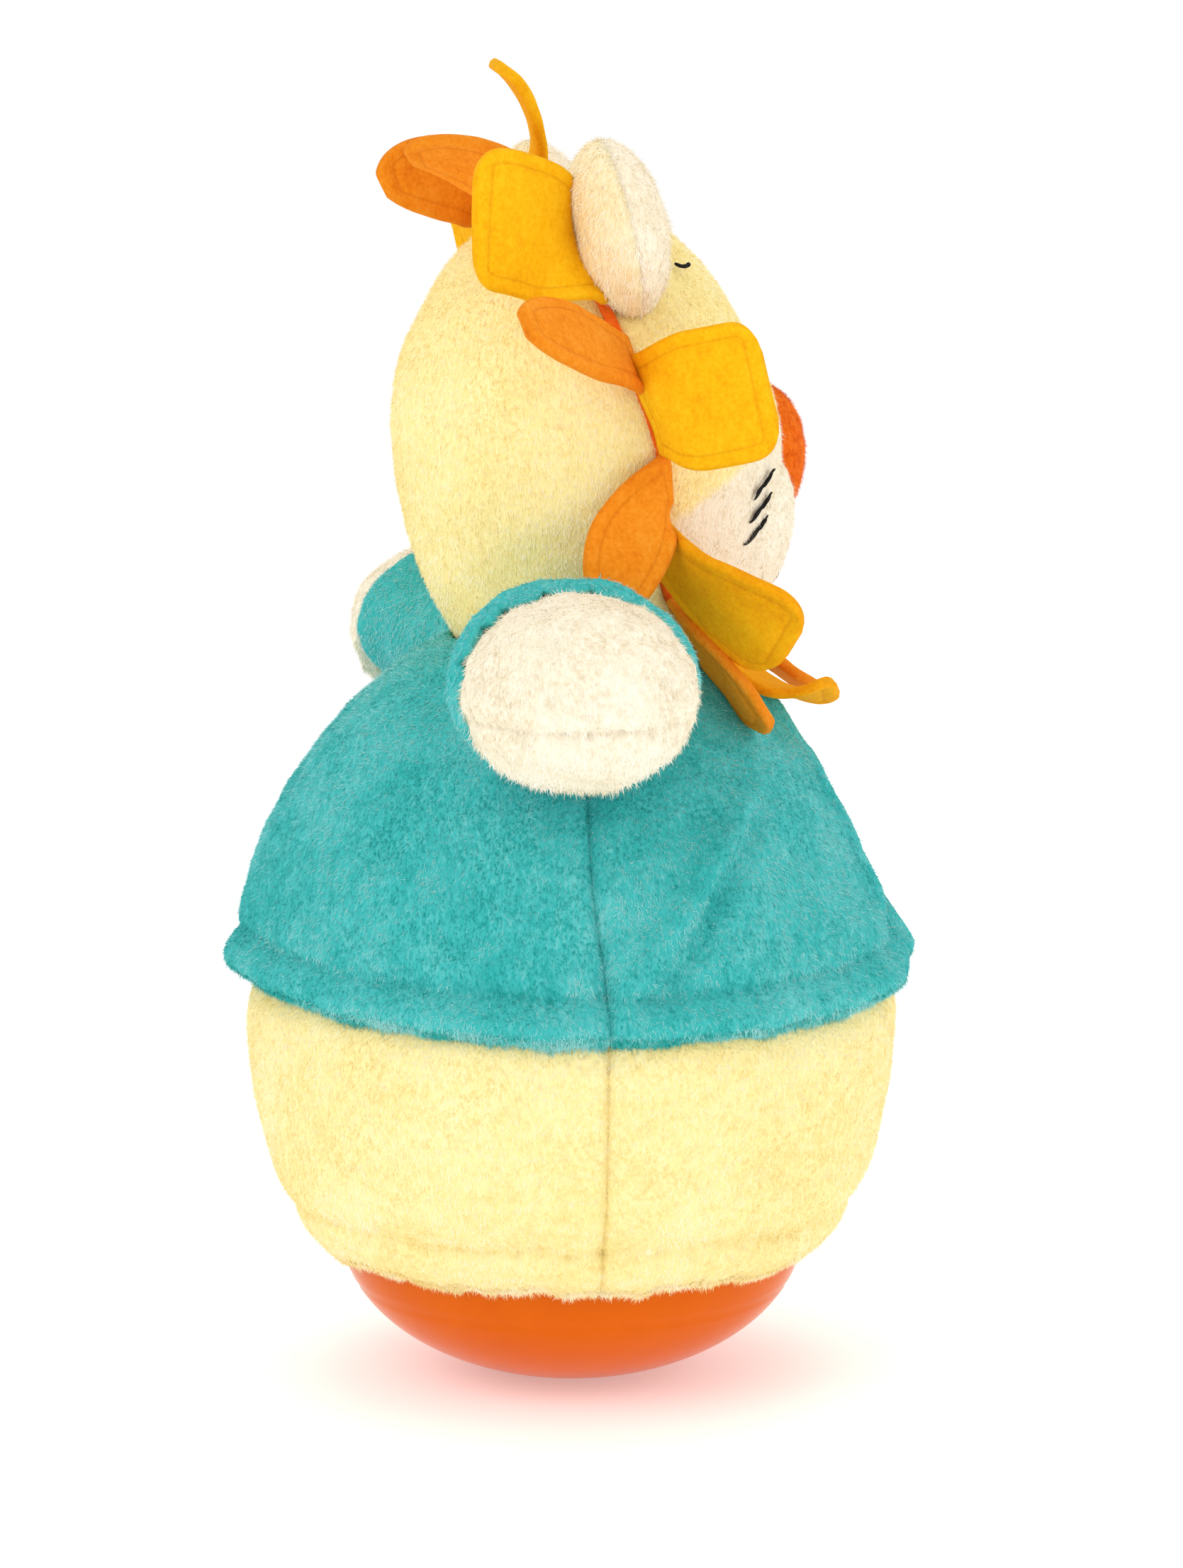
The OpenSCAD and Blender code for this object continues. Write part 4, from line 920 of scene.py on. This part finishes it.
# mane: eighteen felt petals sewn into the seam, tabs at even numbers and leaves at odd ones
petal = dict(count=18, length=24.5, tabWide=20.0, leafWide=14.5, root=10.2, thick=1.8, tab=0.74, leaf=0.5,
             settle=0.4, tip=0.97, rows=46, cols=30, rowsPower=0.9, lift=1.55, leafPower=2.0, tabPower=3.2,
             roundPower=2.1, round=(0, 6, 8, 12), inPaintedShade=(6, 8), edge=0.8, edgeLeast=0.02, rootRim=0.6,
             tipRim=0.9, press=0.22, stitchIn=2.3, stitchWide=0.45, swell=0.05, swellIn=1.6, swellWide=1.0,
             wave=0.22, waveSize=11, grain=0.03, grainSize=2.4, fullness=0.82)
# bend at the root and at the tip, lean and twist, in degrees
petalBends = [(30, -14, 0, 0), (-27, -51, -2, 11), (-66, -64, -21, 0), (-34, -55, -19, 13), (80, 134, 12, 0),
              (-58, -78, 21, -20), (37, 54, 22, 20), (-14, -3, 12, -1), (20, 34, -30, 1), (-4, 6, 28, 0),
              (22, 35, 26, 0), (-12, 1, -18, -6), (37, 57, -20, -11), (-44, -64, -12, 10), (78, 132, -12, 0),
              (-10, -22, 0, 0), (-40, -28, 23, 5), (-51, -66, 15, 1)]
# the petals that are bent or cut their own way: the same, then width, root width and length in mm
petalLooks = {0: (49, -38, -2, -10, 20, 9, 23), 1: (-32, -88, -35, 55, 14.5, 9, 25.5),
              2: (-23, -69, -10, -39, 22, 15.5, 24.5), 3: (-34, -55, -19, 13, 14.5, 10, 29),
              4: (4, 84, 8, -6, 21.5, 16.5, 23), 5: (-80, -34, 44, 46, 13.5, 9, 25.5),
              6: (10, 68, 24, 22, 19.5, 10.5, 26), 7: (-11, 8, 36, -12, 14.5, 11, 22.5),
              8: (-40, 60, 20, -10, 19.5, 9.5, 21.5), 9: (-18, 10, 12, -4, 14.5, 10.5, 23),
              16: (-17, -22, -8, 0, 18, 9.5, 18.5), 17: (-35, -100, 22, 78, 14, 13, 25)}
petalShift = {3: 9}  # degrees along the seam


def petalLook(i):  # bend at the root and at the tip, lean, twist, width, root width and length
    wide = petal["leafWide" if i % 2 else "tabWide"]
    return petalLooks.get(i, (*petalBends[i], wide, petal["root"], petal["length"]))


def seamFrame(turn, step=0.0175):  # point of the seam with its outward, along and forward directions
    p = seamPoint(np.array([turn]))[0]
    out = headNormal(p[None])[0]
    ends = seamPoint(np.array([turn - step, turn + step]))
    along = unit(ends[1] - ends[0])
    return p + headAt, out, along, unit(np.cross(out, along))


def petalHalf(i, s, wide, root):  # half the width: it grows from the root and closes in a rounded tip
    widest, power = petal["leaf"], petal["leafPower"]
    if i % 2 == 0:
        widest, power = petal["tab"], petal["roundPower" if i in petal["round"] else "tabPower"]
    tip = np.clip((s - widest) / (1 - widest), 0, 1)
    grown = (root + (wide - root) * smooth(s / petal["leaf"])) / 2
    return grown * (1 - (tip * petal["tip"]) ** power) ** (1 / power)


def petalShape(i):
    # a felt tab that bends evenly along its length: s runs from the root to the tip and c across;
    # the rim is rounded and a stitched line is pressed in
    at, out, along, fore = seamFrame(math.radians(360 / petal["count"] * i + petalShift.get(i, 0)))
    b0, b1, lean, twist = (math.radians(x) for x in petalLook(i)[:4])
    wide, root, long = petalLook(i)[4:]
    s = np.linspace(0, 1, petal["rows"])[:, None] ** petal["rowsPower"]
    c = np.sin(np.linspace(-math.pi / 2, math.pi / 2, petal["cols"]))[None, :]
    half = (b1 - b0) * s / 2
    straight = np.abs(half) < 1e-6
    chord = np.where(straight, 1, np.sin(half) / np.where(straight, 1, half))
    mid, end = b0 + half, b0 + 2 * half
    settled = smooth(s / petal["settle"])
    ahead = np.cos(end)[..., None] * out + np.sin(end)[..., None] * fore
    face = np.cos(end)[..., None] * fore - np.sin(end)[..., None] * out
    sideways = np.cos(lean * settled)[..., None] * along - np.sin(lean * settled)[..., None] * ahead
    halfWide = petalHalf(i, s, wide, root)
    run = long * s
    lift = petal["lift"] + abs(math.sin(b0)) * petal["thick"] / 2
    toMid = np.cos(mid)[..., None] * out + np.sin(mid)[..., None] * fore
    line = at + out * lift + (run * chord * math.cos(lean))[..., None] * toMid
    line = line + along * (run * math.sin(lean))[..., None]
    turned = (twist * settled)[..., None]
    middle = line + (np.cos(turned) * sideways + np.sin(turned) * face) * (c * halfWide)[..., None]
    across = np.cos(turned) * face - np.sin(turned) * sideways
    rim = np.minimum((1 - np.abs(c)) * halfWide, (1 - s) * long * petal["tipRim"] + 0 * c)
    rim = np.minimum(rim, run + petal["rootRim"])
    rounded = np.sqrt(np.clip(1 - (1 - np.clip(rim / petal["edge"], 0, 1)) ** 2, petal["edgeLeast"], 1))
    press = 1 - petal["press"] * hump(rim, petal["stitchIn"], petal["stitchWide"])
    press = press + petal["swell"] * hump(rim, petal["stitchIn"] + petal["swellIn"], petal["swellWide"])
    thick = petal["thick"] / 2 * rounded * press
    wave = lumps(middle, petal["waveSize"], 60 + i) * petal["wave"]
    wave = wave + lumps(middle, petal["grainSize"], 61) * petal["grain"]
    front = middle + across * (thick + wave)[..., None]
    back = middle - across * (thick - wave)[..., None]
    return slab(front, back, False), rim


tape = dict(along=260, round=14, half=0.85, lift=0.1, square=0.5)


def tapeShape():  # a flat band of rounded section carried along the seam
    p = seamPoint(ringOf(tape["along"]))
    n = headNormal(p)
    fore = np.cross(n, unit(np.roll(p, -1, 0) - np.roll(p, 1, 0)))
    a = ringOf(tape["round"])
    x = tape["half"] * np.sign(np.cos(a)) * np.abs(np.cos(a)) ** tape["square"]
    y = tape["lift"] + tape["half"] * np.sign(np.sin(a)) * np.abs(np.sin(a)) ** tape["square"]
    grid = p[None] + headAt + fore[None] * x[:, None, None] + n[None] * y[:, None, None]
    number = np.arange(tape["round"] * tape["along"]).reshape(tape["round"], tape["along"])
    faces = strip(number[-1], number[0], True).tolist()
    return grid.reshape(-1, 3), faces + cells(tape["round"], tape["along"], True).tolist()


# embroidery: places on the head are degrees round from the front and up
thread = dict(round=14, ridges=16, ridge=0.16, wide=1.15, high=0.8, blunt=8)
eye = dict(turn=64, rise=47, r=2.0, fromTurn=220, toTurn=320, steps=30, lift=0.35, threadR=0.3)
whisker = dict(turn=42, rise=-15, apart=5, tilt=35, half=3.5, steps=40, strands=3, threadR=0.2, wander=0.28,
               wanderEvery=0.9, quicker=0.3, start=2.1, beside=0.16, shift=0.35, lift=0.4, over=0.1, sag=62)
mouth = dict(r=5, drop=20, fromTurn=220, toTurn=320, steps=44, lift=0.15, threadR=0.6)


def threadShape(path, normal, r):  # a row of stitches: a tube with slanting ridges, flattened on the cloth
    along = unit(np.gradient(path, axis=0))
    side = unit(np.cross(along, normal))
    up = np.cross(side, along)
    a = ringOf(thread["round"])[None, :]
    u = np.linspace(0, 1, len(path))[:, None]
    ends = np.sqrt(np.clip(1 - (2 * u - 1) ** thread["blunt"], 0, 1))
    across = r * ends * (1 + thread["ridge"] * np.sin(u * thread["ridges"] * fullTurn + a))
    grid = path[:, None] + side[:, None] * (across * np.cos(a))[..., None] * thread["wide"]
    return ball(grid + up[:, None] * (across * np.sin(a))[..., None] * thread["high"])


def onHead(side, turn, rise):  # a place on the head's egg with its outward, level and rising directions
    turn, rise = math.radians(turn), math.radians(rise)
    high = toy["headLow"] if rise < 0 else toy["headTop"]
    level = toy["headR"] * math.cos(rise)
    p = np.array([side * level * math.sin(turn), -level * math.cos(turn), high * math.sin(rise)])
    n = headNormal(p[None])[0]
    across = unit(np.cross([0, 0, 1.0], n))
    return p + headAt, n, across, np.cross(n, across)


def eyeShape(side):  # part of a circle that hangs open upward
    p, n, level, up = onHead(side, eye["turn"], eye["rise"])
    a = np.radians(np.linspace(eye["fromTurn"], eye["toTurn"], eye["steps"]))[:, None]
    path = p + eye["r"] * (level * np.cos(a) + up * np.sin(a)) + n * eye["lift"]
    return threadShape(path, np.repeat(n[None], eye["steps"], 0), eye["threadR"])


def whiskerShape(side, row):  # loose strands that cross along a slanting line
    p, n, level, up = onHead(side, whisker["turn"], whisker["rise"] + row * whisker["apart"])
    tilt = math.radians(whisker["tilt"])
    way = level * math.cos(tilt) * -side + up * math.sin(tilt)
    u = np.linspace(-whisker["half"], whisker["half"], whisker["steps"])[:, None]
    across = np.cross(n, way)
    strands = []
    for k in range(whisker["strands"]):
        waved = np.sin(u * (whisker["wanderEvery"] + whisker["quicker"] * k) + whisker["start"] * k + row)
        stray = across * (whisker["wander"] * waved + whisker["beside"] * (k - 1))
        lift = whisker["lift"] + whisker["over"] * k - u ** 2 / whisker["sag"]
        path = p + way * (u + whisker["shift"] * (k - 1)) + stray + n * lift
        strands.append(threadShape(path, np.repeat(n[None], whisker["steps"], 0), whisker["threadR"]))
    return joined(strands)


def mouthShape():  # part of a circle laid on the muzzle's ball and turned down to its lower front
    at = np.array(muzzleSet["at"])
    a = np.radians(np.linspace(mouth["fromTurn"], mouth["toTurn"], mouth["steps"]))
    ahead = math.sqrt(muzzleSet["r"] ** 2 - mouth["r"] ** 2) + mouth["lift"]
    flat = np.stack([mouth["r"] * np.cos(a), np.full(mouth["steps"], -ahead), mouth["r"] * np.sin(a)], -1)
    path = at + flat @ turnX(math.radians(mouth["drop"])).T
    return threadShape(path, unit(path - at), mouth["threadR"])


# pile of each part: seed, and the fringe's rows, density and length at the hems; how much painted light pales
# the waistcoat's and sleeves' pile at the front and shoulders, and the ends' length
fur = dict(coverSeed=101, vestSeed=102, headSeed=103, sleeveSeed=104, endSeed=105, coverFringe=106,
           vestFringe=107, coverHemRows=5, coverHemDense=2.0, coverHemLong=1.5, vestHemRows=9,
           vestHemDense=1.6, vestHemLong=1.7, vestPaintedLight=0.7, sleevePaintedLight=1.3, endLong=1.35)


def buildBody():
    piece("bowlShell", bowlShape(), finish["bowlPlastic"], "body", ["base_bowl"])
    first, second = sideSeams
    lower = [("coverBack", (first, second), ["cover_back", "body_stuffing"]),
             ("coverFront", (second, 360 + first), ["cover_front"])]
    for name, span, stands in lower:
        shape, skin = coverPanel(*span)
        piece(name, shape, finish["yellowPlush"], "body", stands)
        pile(name + "Pile", skin, pileTones["yellow"], "body", fur["coverSeed"])
        pile(name + "Fringe", skin[:fur["coverHemRows"]], pileTones["yellow"], "body",
             fur["coverFringe"], dense=fur["coverHemDense"], long=fur["coverHemLong"])
    piece("neckHollow", dishShape(), finish["yellowPlush"], "body")
    right, left = 270 - vest["open"], 270 + vest["open"]
    panels = [("vestBack", (first, second), None, "vest_back"),
              ("vestFrontRight", (second, right), right, "vest_front_right"),
              ("vestFrontLeft", (left, 360 + first), left, "vest_front_left")]
    for name, span, edge, node in panels:
        shape, skin = vestPanel(*span, edge)
        piece(name, shape, finish["tealPlush"], "body", [node])
        pile(name + "Pile", skin, pileTones["teal"], "body", fur["vestSeed"],
             light=fur["vestPaintedLight"])
        pile(name + "Fringe", skin[:fur["vestHemRows"]], pileTones["teal"], "body",
             fur["vestFringe"], dense=fur["vestHemDense"], long=fur["vestHemLong"], light=fur["vestPaintedLight"])


def buildHead():
    finish["facePlush"] = faceFinish()
    back, face = headPanel(headSet["backPole"]), headPanel(headSet["facePole"])
    pads = [("headBack", back, "headPlush", "yellow", ["head_back", "head_stuffing"]),
            ("headFace", face, "facePlush", "yellow", ["head_face"]),
            ("muzzlePad", padShape(muzzleSet), "creamPlush", "cream", ["muzzle"]),
            ("nosePad", padShape(noseSet), "nosePlush", "orange", ["nose"])]
    for name, (shape, skin), look, tone, stands in pads:
        piece(name, shape, finish[look], "head", stands)
        tones, painted = pileTones[tone], noPaint
        if name == "headFace":
            tones, painted = tones + pileTones["cream"], onCheek
        pile(name + "Pile", skin, tones, "head", fur["headSeed"], True, painted=painted)
    piece("maneTape", tapeShape(), finish["tapeFelt"], "head", ["mane_tape"])
    stitches = [("eye", joined([eyeShape(-1), eyeShape(1)])),
                ("whisker", joined([whiskerShape(side, row) for side in (-1, 1) for row in (-1, 0, 1)])),
                ("mouth", mouthShape())]
    for word, shape in stitches:
        piece(word + "Stitches", shape, finish["blackThread"], "head", [word + "_stitches"])


def buildSide(side, word):  # one arm and one ear
    name = word.capitalize()
    shape, skin = sleeveShape(side)
    at, run, across, up = armFrame(side)
    stands = ["sleeve_" + word, "arm_stuffing_" + word]
    sleeve = piece("sleeve" + name, shape, finish["tealPlush"], None, stands)
    sleeveFur = pile("sleeve" + name + "Pile", skin[cuff["bareRows"]:], pileTones["teal"], None,
                     fur["sleeveSeed"], True, light=fur["sleevePaintedLight"])
    for part in (sleeve, sleeveFur):
        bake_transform(part)
    earFront, earBack = earPanel(side, -1, ear["front"]), earPanel(side, 1, ear["back"])
    ends = [("paw", pawShape(side), "creamPlush", "cream", "cream_plush", "arm_", "paw_"),
            ("earFront", earFront, "earPlush", "cream", "cream_plush", "ear_", "ear_front_"),
            ("earBack", earBack, "earBackPlush", "pale", "yellow_plush", "ear_", "ear_back_")]
    for part, (shape, skin), look, tone, cloth, body, node in ends:
        made = piece(part + name, shape, finish[look], body + word, [node + word])
        pile(part + name + "Pile", skin, pileTones[tone], body + word, fur["endSeed"], True,
             long=fur["endLong"])


def buildMane():
    for i in range(petal["count"]):
        colour = "orange" if i % 2 else "yellow"
        node = "petal_%s_%d" % (colour, i // 2 + 1)
        shape, rim = petalShape(i)
        # petals 6 and 8 take the yellow felt painted in its shaded tone
        look = "shadedYellowFelt" if i in petal["inPaintedShade"] else colour + "Felt"
        made = piece("felt_" + node, shape, finish[look], node, [node])
        depth = made.data.attributes.new("rim", "FLOAT", "POINT")  # how far in from the rim, in cm
        depth.data.foreach_set("value", np.tile(rim.ravel() * 0.1, 2).astype(np.float32))


innerLooks = dict(innerPlastic=("capsule_dome", "chime_hanger", "clapper_ball"), castIron=("counterweight",),
                  rodMetal=("chime_plate", "chime_rods"), hemElastic=("hem_elastic",),
                  screwSteel=("dome_screws", "weight_screw", "hanger_nut", "hanger_pin", "clapper_link",
                              "clapper_pin", "clapper_stem"))


def finishInner():  # the solids inside keep their shape and get a finish
    for look, nodes in innerLooks.items():
        for node in nodes:
            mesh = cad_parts[node].data
            mesh.materials.clear()
            mesh.materials.append(finish[look])


back, right = setCamera()
setLamps(back, right)
setWorld()
setFloor()
print("stage: camera and light set")
buildBody()
print("stage: body dressed")
buildHead()
buildSide(-1, "right")
buildSide(1, "left")
print("stage: head, arms and ears made")
buildMane()
print("stage: mane made")
finishInner()
print("stage: inner works finished")
